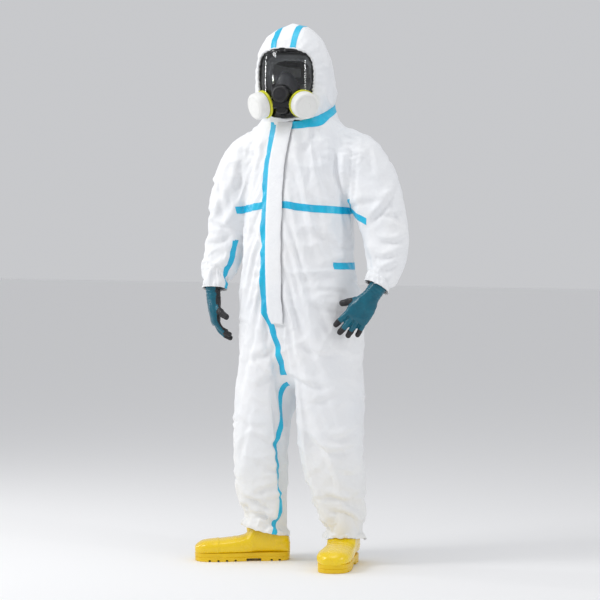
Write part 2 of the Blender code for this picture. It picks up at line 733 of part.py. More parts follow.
def mask_patch(rows, wall):
    """A solid patch of the respirator's front: rows of (x, z) points from bottom to top."""
    outer = [[Vector((x, mask_y(x, z), z)) for x, z in row] for row in rows]
    inner = [[p + Y * wall for p in row] for row in outer]
    bm = bmesh.new()
    grids = [[[bm.verts.new(p) for p in row] for row in side] for side in (outer, inner)]
    count, width = len(rows), len(rows[0])
    for grid in grids:
        for i in range(count - 1):
            for j in range(width - 1):
                bm.faces.new((grid[i][j], grid[i][j + 1], grid[i + 1][j + 1], grid[i + 1][j]))
    rim = [(0, j) for j in range(width)] + [(i, width - 1) for i in range(1, count)]
    rim += [(count - 1, j) for j in range(width - 2, -1, -1)] + [(i, 0) for i in range(count - 2, 0, -1)]
    for (i, j), (k, n) in zip(rim, rim[1:] + rim[:1]):
        bm.faces.new((grids[0][i][j], grids[1][i][j], grids[1][k][n], grids[0][k][n]))
    bmesh.ops.recalc_face_normals(bm, faces=bm.faces)
    return new_object("patch", bm, CUTTERS)


def half_width(z):
    """Half the width inside the respirator's rim at height z."""
    points = [p for p in rim_points(64) if p[0] >= 0]
    points.sort(key=lambda p: p[1])
    for (x0, z0), (x1, z1) in zip(points, points[1:]):
        if z0 <= z <= z1:
            return x0 + (x1 - x0) * (z - z0) / max(z1 - z0, 1e-9)
    return 0.0


def patch_rows(bottom, top, inset, count=6, width=9):
    rows = []
    for i in range(count):
        z = bottom + (top - bottom) * i / (count - 1)
        half = half_width(z) - inset
        rows.append([(half * (2 * j / (width - 1) - 1), z) for j in range(width)])
    return rows


def rim_bead(radius):
    curve = bpy.data.curves.new("rim", "CURVE")
    curve.dimensions = "3D"
    curve.bevel_depth = radius
    curve.bevel_resolution = 1
    points = rim_points(28)
    path = curve.splines.new("POLY")
    path.points.add(len(points) - 1)
    for point, (x, z) in zip(path.points, points):
        point.co = (x, mask_y(x, z), z, 1)
    path.use_cyclic_u = True
    obj = bpy.data.objects.new("rim", curve)
    CUTTERS.objects.link(obj)
    return applied(obj, "rim", CUTTERS)


def filter_axis(side):
    level = math.cos(FILTER_DOWN)
    out = side * math.sin(FILTER_OUT) * level
    return Vector((out, -math.cos(FILTER_OUT) * level, -math.sin(FILTER_DOWN)))


def filter_centre(side):
    return Vector((side * FILTER_CENTRE[0], *FILTER_CENTRE[1:]))


def port(side, radius, start_back, length, sides=16):
    axis = filter_axis(side)
    return cylinder(filter_centre(side) - axis * start_back, -axis, radius, length, sides)


def make_mask_front(m):
    split = 1.596
    front = -0.141
    finish(to_head(rim_bead(4.5 * MM)), "visor_frame", m["black"])
    lens = mask_patch(patch_rows(split + GAP, 1.7575, 3.0 * MM), 2.0 * MM)
    lens = minus(lens, cylinder(VALVE - Y * 0.2, Y, 0.0316, 0.15, 24), rim_bead(4.9 * MM))
    lens = minus(lens, *(port(side, 0.0216, 0.030, 0.05) for side, _ in PORTS))
    finish(to_head(largest_body(lens)), "visor_lens", m["lens"])
    body = mask_patch(patch_rows(1.5415, split, 3.0 * MM, 5), 4.0 * MM)
    body = union(body, cylinder(VALVE + Y * front, Y, 0.031, 0.034, 24))
    body = union(body, *(port(side, 0.021, 0.030, 0.026) for side, _ in PORTS))
    chamber = cylinder(VALVE + Y * (front - 0.002), Y, 0.0200, 0.0095, 20)
    body = minus(body, chamber, cylinder(VALVE - Y * 0.15, Y, 0.0115, 0.06, 16))
    body = minus(body, *(port(side, 0.0155, 0.029, 0.05, 14) for side, _ in PORTS), rim_bead(4.9 * MM))
    finish(to_head(largest_body(body)), "mask_housing", m["black"])
    disc = cylinder(VALVE + Y * (front + 0.0060), Y, 0.0165, 1.2 * MM, 20)
    finish(to_head(disc), "exhale_valve_disc", m["elastic"])
    cup = cylinder(VALVE + Y * (front - 0.012), Y, 0.027, 0.0116, 24, 0.0305)
    cup = minus(cup, cylinder(VALVE + Y * (front - 0.0102), Y, 0.0245, 0.02, 24, 0.029))
    slot = box((-0.012, front - 0.010, 1.575), (0.012, front - 0.003, 1.600))
    finish(to_head(minus(cup, slot)), "exhale_valve_cover", m["black"])


def make_face_seal(m):
    """The rubber skirt from the rim back to the face, and the inner cup over nose and mouth."""
    steps = ((0.960, 0.008, 0.0), (0.930, 0.020, 0.15), (0.840, 0.024, 0.62), (0.740, 0.014, 0.92))
    outer, inner = [], []
    for wall, rings in ((0.0, outer), (SEAL_WALL, inner)):
        for scale, back, flat in steps:
            ring = []
            for x, z in rim_points(24):
                depth = mask_y(x, z) + back + (-0.035 - mask_y(x, z)) * flat
                shift = Vector((x, z - 1.65)).normalized() * wall
                ring.append(Vector((x * scale - shift.x, depth, 1.65 + (z - 1.65) * scale - shift.y)))
            rings.append(ring)
    seal = minus(tube(outer, inner), *(port(side, 0.0216, 0.030, 0.05) for side, _ in PORTS))
    finish(to_head(largest_body(seal)), "face_seal", m["black"])
    cup = []
    for wall in (0.0, SEAL_WALL):
        cup.append([oval(Vector((0, y, z)), X, -Z, a - wall, b - wall, 16) for y, z, a, b in NOSE_CUP])
    finish(to_head(tube(*cup)), "nose_cup", m["black"])


def make_filters(m):
    for side, name in PORTS:
        axis, centre = filter_axis(side), filter_centre(side)
        across = axis.cross(Z).normalized()

        def circle(at, radius):
            return oval(centre + axis * at, across, axis.cross(across), radius, radius, 24)

        body = loft([circle(-0.0196, 0.046), circle(0.014, 0.046), circle(0.019, 0.041)])
        body = minus(body, cylinder(centre - axis * 0.024, axis, 0.0150, 0.014, 12))
        finish(to_head(body), f"filter_body_{name}", m["filter"])
        outer = [circle(-0.0296, 0.0290), circle(-0.0235, 0.0460), circle(-0.0200, 0.0475)]
        ring = tube(outer, [circle(-0.0296, 0.0150), circle(-0.0200, 0.0150)])
        finish(to_head(ring), f"filter_ring_{name}", m["yellow_ring"])


def make_harness(m):
    """The rubber head harness: a band over the crown and two round the back of the head."""
    shells = []
    for wall in (0.0, 2.0 * MM):
        bm = bmesh.new()
        bmesh.ops.create_uvsphere(bm, u_segments=20, v_segments=12, radius=1.0)
        size = Matrix.Diagonal((0.084 - wall, 0.106 - wall, 0.118 - wall, 1))
        bmesh.ops.transform(bm, matrix=Matrix.Translation((0, 0.012, 1.690)) @ size, verts=bm.verts)
        shells.append(new_object("head", bm, CUTTERS))
    shell = minus(*shells)
    half = 0.009
    bands = box((-half, -0.03, 1.66), (half, 0.3, 1.9))
    for height, tilt, front in ((1.742, 0.16, -0.021), (1.640, -0.30, -0.021)):
        band = box((-0.2, front, -half), (0.2, 0.3, half))
        band.data.transform(Matrix.Translation((0, 0, height)) @ Matrix.Rotation(-tilt, 4, "X"))
        bands = union(bands, band)
    finish(to_head(boolean(shell, bands, "INTERSECT")), "head_harness", m["black"])


# --- gloves ---
def finger(frame, base, way, length, radius, curl, offset, segments=3):
    """A closed finger from base along way, bending towards the palm by curl in all."""
    along, thumb, back = frame
    point, direction, rings = base - way * 0.016, way.copy(), []
    hinge = direction.cross(back).normalized()
    for k in range(segments + 1):
        t = k / segments
        size = radius * (1 - 0.18 * t) + offset
        rings.append(oval(point, hinge, hinge.cross(direction), size, size, 5))
        direction.rotate(Matrix.Rotation(-curl / segments, 3, hinge))
        point = point + direction * ((length + 0.016) / segments)
    tip = rings[-1]
    middle = sum(tip, Vector()) / len(tip)
    for scale, reach in ((0.75, 0.45), (0.35, 0.70)):
        end = middle + direction * (radius * 0.82 + offset) * reach
        rings.append([end + (p - middle) * scale for p in tip])
    return loft([list(reversed(ring)) for ring in rings])


# distance from the wrist, half width, half thickness
PALM = [
    (-0.050, 0.0300, 0.0260),
    (-0.004, 0.0295, 0.0245),
    (0.030, 0.0390, 0.0230),
    (0.062, 0.0440, 0.0195),
    (0.090, 0.0420, 0.0150),
    (0.099, 0.0380, 0.0110),
]
# place across the palm, distance from the wrist, length, radius
FINGERS = [
    (0.0310, 0.086, 0.066, 0.0112),
    (0.0105, 0.091, 0.074, 0.0115),
    (-0.0105, 0.089, 0.068, 0.0112),
    (-0.0310, 0.082, 0.054, 0.0102),
]


def hand_solid(wrist, frame, curl, spread, offset):
    along, thumb, back = frame
    rings = []
    for k, (s, wide, thick) in enumerate(PALM):
        s += {0: offset * 4, len(PALM) - 1: offset}.get(k, 0.0)
        middle, inwards = wrist + along * s, along.cross(thumb)
        rings.append(oval(middle, thumb, inwards, wide + offset, thick + offset, 10, 2.4))
    palm = loft(rings)
    for across, start_at, length, radius in FINGERS:
        way = (along + thumb * (across * spread)).normalized()
        base = wrist + along * start_at + thumb * across
        palm = union(palm, finger(frame, base, way, length, radius, curl, offset))
    way = (along * 0.72 + thumb * 0.66 - back * 0.22).normalized()
    base = wrist + along * 0.038 + thumb * 0.030 - back * 0.006
    return union(palm, finger(frame, base, way, 0.056, 0.0132, curl * 0.4, offset))


# wrist, the way the palm runs, the way its back faces, curl in degrees, spread
HANDS = {
    "right": ((-0.297, -0.110, 0.916), (0.10, 0.0, -0.995), (-0.75, -0.66, 0), 62, 1.0),
    "left": ((0.332, -0.062, 0.930), (-0.476, -0.333, -0.814), (0.574, -0.819, 0), 20, 5.0),
}


def make_gloves(m):
    for name, (wrist, along, back, curl, spread) in HANDS.items():
        wrist, along, back = Vector(wrist), Vector(along).normalized(), Vector(back)
        curl = math.radians(curl)
        back = (back - along * back.dot(along)).normalized()
        thumb = back.cross(along) if name == "right" else along.cross(back)
        frame = (along, thumb, back)
        outer = hand_solid(wrist, frame, curl, spread, 0.0)
        inner = hand_solid(wrist, frame, curl, spread, -GLOVE_WALL)
        glove = minus(outer, inner, region((wrist - along * 0.046, along)))
        finish(glove, f"glove_{name}", m["glove"])


# --- boots ---
# place along the foot from the ankle, half width, height
BOOT_FOOT = [
    (-0.076, 0.024, 0.070),
    (-0.062, 0.039, 0.110),
    (-0.020, 0.044, 0.150),
    (0.036, 0.045, 0.150),
    (0.058, 0.047, 0.118),
    (0.076, 0.048, 0.090),
    (0.140, 0.054, 0.078),
    (0.196, 0.053, 0.073),
    (0.226, 0.043, 0.067),
    (0.246, 0.020, 0.052),
]
# height, centre towards the toe, half sizes along and across the foot
BOOT_SHAFT = [
    (0.078, 0.001, 0.066, 0.043),
    (0.150, 0.004, 0.070, 0.050),
    (0.230, 0.002, 0.068, 0.054),
    (0.310, 0.0, 0.070, 0.058),
]
# place along the foot, width and depth
SOLE_GROOVES = [
    (-0.042, 0.009, 0.007),
    (-0.014, 0.009, 0.007),
    (0.048, 0.052, 0.010),
    (0.112, 0.008, 0.006),
    (0.142, 0.008, 0.006),
    (0.172, 0.008, 0.006),
    (0.202, 0.008, 0.006),
]
# place along the foot, half width
SOLE_OUTLINE = [
    (-0.080, 0.014),
    (-0.066, 0.036),
    (-0.030, 0.043),
    (0.050, 0.044),
    (0.100, 0.049),
    (0.150, 0.055),
    (0.196, 0.054),
    (0.228, 0.044),
    (0.249, 0.016),
]
FEET = (
    ("right", Vector((-0.121, -0.036, 0)), FOOT_YAW_RIGHT),
    ("left", Vector((0.152, 0.045, 0)), FOOT_YAW_LEFT),
)


def boot_solid(frame, offset, lengthen):
    ankle, toe, side = frame
    floor = SOLE_TOP - 0.002 - offset
    rings = []
    for k, (f, w, h) in enumerate(BOOT_FOOT):
        f += {0: -offset, len(BOOT_FOOT) - 1: offset}.get(k, 0.0)
        ring = []
        for i in range(10):
            angle = math.pi * 2 * i / 10
            c, s = math.cos(angle), math.sin(angle)
            across = math.copysign(abs(c) ** 0.8, c) * (w + offset)
            up = (h + offset - floor) / 2 * (1 + math.copysign(abs(s) ** (0.85 if s > 0 else 0.35), s))
            ring.append(ankle + toe * f + side * across + Z * (floor + up))
        rings.append(ring)
    shaft = []
    for z, f, a, b in BOOT_SHAFT:
        top = lengthen if z == BOOT_SHAFT[-1][0] else 0.0
        shaft.append(oval(ankle + toe * f + Z * (z + top), toe, Z.cross(toe), a + offset, b + offset, 12))
    return union(loft(rings), loft(shaft))


def sole_solid(frame):
    ankle, toe, side = frame
    outline = SOLE_OUTLINE + [(f, -w) for f, w in reversed(SOLE_OUTLINE)]
    rings = [[ankle + toe * f + side * w + Z * z for f, w in outline] for z in (0.0, SOLE_TOP)]
    sole = loft(rings)
    for f, width, depth in SOLE_GROOVES:
        groove = box((-0.08, f - width / 2, -0.01), (0.08, f + width / 2, depth))
        turn = math.atan2(-toe.x, toe.y)
        groove.data.transform(Matrix.Translation(ankle) @ Matrix.Rotation(turn, 4, "Z"))
        sole = minus(sole, groove)
    return sole


def make_boots(m):
    """Each boot is a single moulding: foot, shaft and cleated sole."""
    for name, ankle, yaw in FEET:
        toe = foot_direction(yaw)
        frame = (ankle, toe, Z.cross(toe))
        boot = union(boot_solid(frame, 0.0, 0.0), sole_solid(frame))
        finish(minus(boot, boot_solid(frame, -RUBBER, 0.05)), f"boot_{name}", m["boot"])


def make_waist_elastic(m):
    inner = skin_shell(-3.0 * MM, -4.4 * MM)
    band = above(1.03), below(1.055), ((0, 0.03, 0), (0, -1, 0))
    cut(inner, "waist_elastic", m["elastic"], *band, *inside(ARMHOLE_OUT))
    bpy.data.objects.remove(inner)


def place_pieces():
    """Puts each piece in the finished frame, with a moving piece's origin on its joint's axis."""
    pivots = {name: Vector(point) for point, names in PIVOTS for name in names}
    turn = Matrix.Rotation(HEAD_YAW, 3, "Z")
    for side, name in PORTS:
        centre = HEAD + turn @ filter_centre(side)
        pivots[f"filter_body_{name}"] = pivots[f"filter_ring_{name}"] = centre
    for obj in SUIT.objects:
        pivot = pivots.get(obj.name, ORIGIN)
        obj.data.transform(Matrix.Translation(-pivot))
        obj.location = pivot - ORIGIN


def main():
    m = make_materials()
    shell = skin_shell(0.0, -FABRIC)
    make_torso(shell, m)
    make_sleeves(shell, m)
    make_trousers(shell, m)
    make_tapes(m)
    make_waist_elastic(m)
    make_closure(m)
    make_slider(m)
    make_hood(m)
    make_mask_front(m)
    make_face_seal(m)
    make_filters(m)
    make_harness(m)
    make_gloves(m)
    make_boots(m)
    for obj in list(CUTTERS.objects):
        bpy.data.objects.remove(obj)
    place_pieces()


SUIT, CUTTERS = start()
main()
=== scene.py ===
"""The looks of a chemical protective suit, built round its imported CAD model.

Every piece is made in body coordinates: metres, +Z up, the wearer faces -Y, and the zip's plane
is X = 0. It is then moved by -ORIGIN into the frame of the CAD model.
"""

import json
import math

import bmesh
import bpy
import numpy as np
from mathutils import Matrix, Vector, noise
from mathutils.bvhtree import BVHTree

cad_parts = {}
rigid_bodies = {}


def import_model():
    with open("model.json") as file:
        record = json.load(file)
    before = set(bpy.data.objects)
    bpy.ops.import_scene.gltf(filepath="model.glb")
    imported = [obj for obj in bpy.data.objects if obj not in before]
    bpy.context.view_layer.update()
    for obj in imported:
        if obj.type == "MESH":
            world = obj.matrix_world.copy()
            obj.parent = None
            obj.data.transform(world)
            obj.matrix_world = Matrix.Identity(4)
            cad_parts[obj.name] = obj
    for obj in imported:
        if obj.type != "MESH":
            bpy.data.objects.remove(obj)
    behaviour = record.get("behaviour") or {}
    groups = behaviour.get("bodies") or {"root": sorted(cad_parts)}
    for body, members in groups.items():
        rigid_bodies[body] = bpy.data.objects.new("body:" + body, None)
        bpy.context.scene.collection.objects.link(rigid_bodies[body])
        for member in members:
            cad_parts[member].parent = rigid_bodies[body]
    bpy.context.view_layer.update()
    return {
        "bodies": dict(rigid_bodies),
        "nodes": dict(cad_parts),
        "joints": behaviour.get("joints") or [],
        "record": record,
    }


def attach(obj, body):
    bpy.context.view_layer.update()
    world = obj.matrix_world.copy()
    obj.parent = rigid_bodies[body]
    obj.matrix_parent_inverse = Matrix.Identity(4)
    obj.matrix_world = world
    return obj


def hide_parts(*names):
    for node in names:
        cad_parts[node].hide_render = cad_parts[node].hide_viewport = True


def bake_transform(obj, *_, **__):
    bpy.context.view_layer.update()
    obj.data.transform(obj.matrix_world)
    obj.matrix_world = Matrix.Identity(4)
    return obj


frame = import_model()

MM = 0.001
X, Y, Z = Vector((1, 0, 0)), Vector((0, 1, 0)), Vector((0, 0, 1))
ORIGIN = Vector((0.0281, -0.0371, 0.0))
SCENE = bpy.context.scene

# --- the suit's dimensions, in metres, as in the CAD model ---
ZIP_CENTRE_Y, ZIP_CENTRE_Z, ZIP_RADIUS = 1.975, 1.075, 2.139
ZIP_TOP, ZIP_BOTTOM, ZIP_HALF = 1.505, 0.842, 15.5 * MM
FLAP_HALF = 33 * MM
TAPE_WIDTH, THIN_TAPE = 24 * MM, 20 * MM
CHEST_SEAM_Z, CROTCH_Z = 1.239, 0.655
WAIST_TAPE_Z, WAIST_TAPE_START_Y = 1.050, -0.072
KNEE_TOP_Z, KNEE_BOTTOM_Z = 0.495, 0.335
ARMHOLE_IN = 0.172
HIP_HALF = 0.246
NECK_FRONT, NECK_BACK = Vector((0, -0.12, 1.522)), Vector((0, 0.10, 1.598))
HEAD, HEAD_YAW = Vector((0.0, -0.047, 0.0)), math.radians(17)

# z, half width, front, back (front None: on the zip's arc)
TORSO = [
    (0.628, 0.050, -0.034, 0.036),
    (0.652, 0.130, -0.076, 0.082),
    (0.690, 0.208, -0.124, 0.130),
    (0.750, 0.236, -0.147, 0.148),
    (0.840, 0.238, None, 0.152),
    (0.940, 0.228, None, 0.146),
    (1.040, 0.206, None, 0.128),
    (1.140, 0.202, None, 0.126),
    (1.240, 0.206, None, 0.138),
    (1.340, 0.206, None, 0.146),
    (1.420, 0.205, None, 0.140),
    (1.470, 0.190, None, 0.122),
    (1.505, 0.168, None, 0.110),
    (1.530, 0.130, -0.123, 0.108),
    (1.570, 0.112, -0.120, 0.112),
    (1.660, 0.110, -0.110, 0.112),
]
HOOD = [
    (1.470, 0.100, -0.070, 0.125),
    (1.540, 0.118, -0.088, 0.146),
    (1.600, 0.133, -0.100, 0.166),
    (1.660, 0.131, -0.112, 0.166),
    (1.720, 0.122, -0.117, 0.150),
    (1.770, 0.109, -0.112, 0.130),
    (1.810, 0.089, -0.086, 0.104),
    (1.840, 0.058, -0.050, 0.070),
    (1.856, 0.022, -0.014, 0.026),
]
# centre, half size forwards and backwards, half size across
ARM_RIGHT = [
    ((-0.105, -0.030, 1.405), 0.078, 0.085),
    ((-0.180, -0.044, 1.392), 0.090, 0.108),
    ((-0.226, -0.052, 1.345), 0.090, 0.100),
    ((-0.258, -0.056, 1.265), 0.084, 0.086),
    ((-0.286, -0.056, 1.160), 0.074, 0.072),
    ((-0.298, -0.070, 1.060), 0.070, 0.067),
    ((-0.301, -0.094, 0.985), 0.058, 0.056),
    ((-0.298, -0.106, 0.930), 0.043, 0.042),
    ((-0.297, -0.110, 0.905), 0.041, 0.040),
]
ARM_LEFT = [
    ((0.110, 0.010, 1.405), 0.078, 0.085),
    ((0.192, 0.030, 1.400), 0.094, 0.110),
    ((0.250, 0.044, 1.350), 0.093, 0.100),
    ((0.296, 0.046, 1.265), 0.088, 0.088),
    ((0.334, 0.042, 1.160), 0.080, 0.078),
    ((0.352, 0.012, 1.060), 0.070, 0.069),
    ((0.350, -0.030, 0.985), 0.058, 0.056),
    ((0.340, -0.053, 0.945), 0.043, 0.042),
    ((0.330, -0.062, 0.925), 0.041, 0.040),
]
LEG_RIGHT = [
    ((-0.116, -0.012, 0.810), 0.108, 0.120),
    ((-0.120, -0.018, 0.700), 0.112, 0.130),
    ((-0.132, -0.028, 0.580), 0.110, 0.124),
    ((-0.141, -0.042, 0.420), 0.106, 0.112),
    ((-0.137, -0.043, 0.280), 0.095, 0.102),
    ((-0.128, -0.040, 0.170), 0.087, 0.094),
    ((-0.124, -0.038, 0.060), 0.084, 0.090),
]
LEG_LEFT = [
    ((0.116, 0.004, 0.810), 0.108, 0.120),
    ((0.120, 0.006, 0.700), 0.112, 0.130),
    ((0.130, 0.010, 0.580), 0.112, 0.124),
    ((0.131, 0.008, 0.420), 0.112, 0.114),
    ((0.146, 0.032, 0.280), 0.095, 0.102),
    ((0.152, 0.044, 0.150), 0.082, 0.088),
    ((0.152, 0.045, 0.040), 0.080, 0.084),
]
FOOT_YAW = {"right": math.radians(-50), "left": math.radians(23)}
HEM = {"right": (0.102, 0.23), "left": (0.088, 0.10)}
CUFF_Z = {"right": 0.945, "left": 0.958}
ELBOW_Z = (1.222, 1.078)
SIDES = {"right": (-1, ARM_RIGHT, LEG_RIGHT), "left": (1, ARM_LEFT, LEG_LEFT)}

# --- the fabric's simulation ---
VOXEL = 9 * MM
FRAMES = 26
GROWTH = 0.045  # the cut is this much larger than the body it hangs on
CAP = 22 * MM  # the furthest a point may move


# --- mesh helpers ---
def catmull_rom(a, b, c, d, t):
    square, cube = t**2, t**3
    return 0.5 * (2 * b + (c - a) * t + (2 * a - 5 * b + 4 * c - d) * square + (3 * b - a - 3 * c + d) * cube)


def spline(points, count):
    """count tuples along a smooth curve through a list of tuples of numbers."""
    found = []
    spans = len(points) - 1
    for k in range(count):
        at = k * spans / (count - 1)
        i = min(int(at), spans - 1)
        p = [points[min(max(i + d, 0), spans)] for d in (-1, 0, 1, 2)]
        found.append(tuple(catmull_rom(*column, at - i) for column in zip(*p)))
    return found


def new_object(name, bm):
    mesh = bpy.data.meshes.new(name)
    bm.to_mesh(mesh)
    bm.free()
    obj = bpy.data.objects.new(name, mesh)
    SCENE.collection.objects.link(obj)
    return obj


def remove(*objects):
    for obj in objects:
        bpy.data.objects.remove(obj)


def oval(centre, across, along, half_a, half_b, sides, power=2.0):
    ring = []
    for k in range(sides):
        c, s = math.cos(2 * math.pi * k / sides), math.sin(2 * math.pi * k / sides)
        a = math.copysign(abs(c) ** (2 / power), c) * half_a
        b = math.copysign(abs(s) ** (2 / power), s) * half_b
        ring.append(centre + across * a + along * b)
    return ring


def loft_into(bm, rings, caps=True):
    """Adds a surface through rings of points to a bmesh."""
    rows = [[bm.verts.new(p) for p in ring] for ring in rings]
    for low, high in zip(rows, rows[1:]):
        for i in range(len(low)):
            j = (i + 1) % len(low)
            bm.faces.new((low[i], low[j], high[j], high[i]))
    if caps:
        bm.faces.new(list(reversed(rows[0])))
        bm.faces.new(rows[-1])


def front_y(z):
    return ZIP_CENTRE_Y - math.sqrt(ZIP_RADIUS**2 - (z - ZIP_CENTRE_Z) ** 2)


def level_rings(rows, offset, sides, count, centre=Vector(), yaw=0.0):
    turn = Matrix.Rotation(yaw, 3, "Z")
    across, along = turn @ X, turn @ Y
    exact = [(z, half, front_y(z) if front is None else front, back) for z, half, front, back in rows]
    rings = []
    for z, half, front, back in spline(exact, count):
        middle = centre + along * ((front + back) / 2) + Z * z
        rings.append(oval(middle, across, along, half + offset, (back - front) / 2 + offset, sides, 2.5))
    return rings


def limb_rings(rows, offset, sides, count, reference):
    flat = spline([(*c, a, b) for c, a, b in rows], count)
    centres = [Vector(row[:3]) for row in flat]
    rings = []
    for i, row in enumerate(flat):
        way = (centres[min(i + 1, count - 1)] - centres[max(i - 1, 0)]).normalized()
        across = (reference - way * reference.dot(way)).normalized()
        rings.append(oval(centres[i], across, way.cross(across), row[3] + offset, row[4] + offset, sides))
    return rings


def remeshed(obj, voxel):
    modifier = obj.modifiers.new("remesh", "REMESH")
    modifier.mode = "VOXEL"
    modifier.voxel_size = voxel
    return applied(obj)


def applied(obj):
    """Applies the object's modifiers to its mesh."""
    graph = bpy.context.evaluated_depsgraph_get()
    mesh = bpy.data.meshes.new_from_object(obj.evaluated_get(graph))
    obj.modifiers.clear()
    obj.data = mesh
    return obj


def coordinates(mesh):
    found = np.empty(len(mesh.vertices) * 3)
    mesh.vertices.foreach_get("co", found)
    return found.reshape(-1, 3)


def set_coordinates(mesh, values):
    mesh.vertices.foreach_set("co", np.asarray(values, float).ravel())
    mesh.update()


def normals_of(mesh):
    found = np.empty(len(mesh.vertices) * 3)
    mesh.vertex_normals.foreach_get("vector", found)
    return found.reshape(-1, 3)


def smoothed(values, edges, rounds, share=0.5):
    """Moves each point towards the mean of its neighbours."""
    count = np.bincount(edges.ravel(), minlength=len(values)).clip(1)[:, None]
    for _ in range(rounds):
        total = np.zeros_like(values)
        np.add.at(total, edges[:, 0], values[edges[:, 1]])
        np.add.at(total, edges[:, 1], values[edges[:, 0]])
        values = values + share * (total / count - values)
    return values


def edges_of(mesh):
    found = np.empty(len(mesh.edges) * 2, int)
    mesh.edges.foreach_get("vertices", found)
    return found.reshape(-1, 2)


def clip(bm, planes):
    """Cuts away what lies outside the planes, each (point, outward normal)."""
    for point, normal in planes:
        bmesh.ops.bisect_plane(
            bm,
            geom=bm.verts[:] + bm.edges[:] + bm.faces[:],
            dist=1e-6,
            plane_co=Vector(point),
            plane_no=Vector(normal).normalized(),
            clear_outer=True,
        )
    return bm


# --- planes along the seams ---
def above(z):
    return (0, 0, z), (0, 0, -1)


def below(z):
    return (0, 0, z), (0, 0, 1)


def outside(side, distance):
    return (side * distance, 0, 0), (-side, 0, 0)


def inside(half):
    return ((half, 0, 0), (1, 0, 0)), ((-half, 0, 0), (-1, 0, 0))


def neck_plane(rise, keep_below):
    across = (NECK_BACK - NECK_FRONT).normalized()
    up = X.cross(across).normalized()
    return NECK_FRONT + up * rise, up if keep_below else -up


def limb_plane(rows, z, towards_end):
    flat = spline([c for c, _, _ in rows], 200)
    i = min(range(1, 199), key=lambda k: abs(flat[k][2] - z))
    way = (Vector(flat[i + 1]) - Vector(flat[i - 1])).normalized()
    return Vector(flat[i]), way if towards_end else -way


def foot_direction(yaw):
    return Vector((math.sin(yaw), -math.cos(yaw), 0))


def hem_plane(name):
    rows, (height, slope) = SIDES[name][2], HEM[name]
    centre = Vector(rows[-1][0])
    return Vector((centre.x, centre.y, height)), foot_direction(FOOT_YAW[name]) * slope - Z


# --- the coverall ---
def add_garment(bm, offsets):
    """Lofts of torso, legs and arms, each grown by its offset."""
    torso, leg, arm = offsets
    loft_into(bm, level_rings(TORSO, torso, 96, 90))
    for rows in (LEG_RIGHT, LEG_LEFT):
        loft_into(bm, limb_rings(rows, leg, 64, 60, X))
    for rows in (ARM_RIGHT, ARM_LEFT):
        loft_into(bm, limb_rings(rows, arm, 56, 60, Y))


def cut_coverall():
    """The coverall's fabric below the collar, as cut and sewn, open at collar, cuffs and hems."""
    bm = bmesh.new()
    add_garment(bm, (0.0, 0.0, 0.0))
    obj = remeshed(new_object("coverall", bm), VOXEL)
    obj.data = obj.data.copy()
    edges = edges_of(obj.data)
    set_coordinates(obj.data, smoothed(coordinates(obj.data), edges, 3))
    bm = bmesh.new()
    bm.from_mesh(obj.data)
    clip(bm, [neck_plane(0, True)])
    for name, (side, arm, _) in SIDES.items():
        cuff, way = limb_plane(arm, CUFF_Z[name], True)
        cut_end(bm, cuff, way, lambda c, s=side: c.x * s > HIP_HALF and 0.85 < c.z < 1.1)
        hem, down = hem_plane(name)
        cut_end(bm, hem, down, lambda c, s=side: c.x * s > 0 and c.z < 0.3)
    bm.to_mesh(obj.data)
    bm.free()
    return obj


def cut_end(bm, point, normal, near):
    """Cuts off the closed end of one limb."""
    faces = [f for f in bm.faces if near(f.calc_center_median())]
    geom = faces + list({e for f in faces for e in f.edges}) + list({v for f in faces for v in f.verts})
    bmesh.ops.bisect_plane(bm, geom=geom, dist=1e-6, plane_co=point, plane_no=normal)
    beyond = [v for v in bm.verts if near(v.co) and (v.co - point).dot(normal) > 1e-5]
    bmesh.ops.delete(bm, geom=beyond, context="VERTS")


def make_mannequin():
    """A body for the fabric to hang on while it is simulated."""
    bm = bmesh.new()
    loft_into(bm, level_rings(TORSO, -0.016, 48, 40))
    for rows in (LEG_RIGHT, LEG_LEFT):
        loft_into(bm, limb_rings(rows, -0.034, 32, 30, X))
    for rows in (ARM_RIGHT, ARM_LEFT):
        loft_into(bm, limb_rings(rows, -0.026, 28, 30, Y))
    body = remeshed(new_object("mannequin", bm), 16 * MM)
    body.modifiers.new("collision", "COLLISION")
    body.collision.thickness_outer = 0.003
    body.collision.cloth_friction = 8
    return body


def pin_weights(points):
    """How firmly the fabric is held at the zip, the collar, the cuffs and the hems."""
    held = np.zeros(len(points))

    def hold(distance, full, none):
        near = np.clip((none - distance) / (none - full), 0, 1)
        np.maximum(held, near, out=held)

    front = (points[:, 1] < -0.05) & (points[:, 2] > 0.83)
    hold(np.where(front, np.abs(points[:, 0]), 9), 0.018, 0.050)
    for name, (side, arm, _) in SIDES.items():
        on = points[:, 0] * side > HIP_HALF
        point, way = limb_plane(arm, CUFF_Z[name], True)
        hold(np.where(on & (points[:, 2] < 1.1), np.abs((points - point) @ np.array(way)), 9), 0.004, 0.012)
        point, way = hem_plane(name)
        on = (points[:, 0] * side > 0) & (points[:, 2] < 0.3)
        hold(np.where(on, np.abs((points - point) @ np.array(way)), 9), 0.004, 0.010)
    point, up = neck_plane(0, True)
    hold(np.abs((points - point) @ np.array(up)), 0.006, 0.025)
    return held


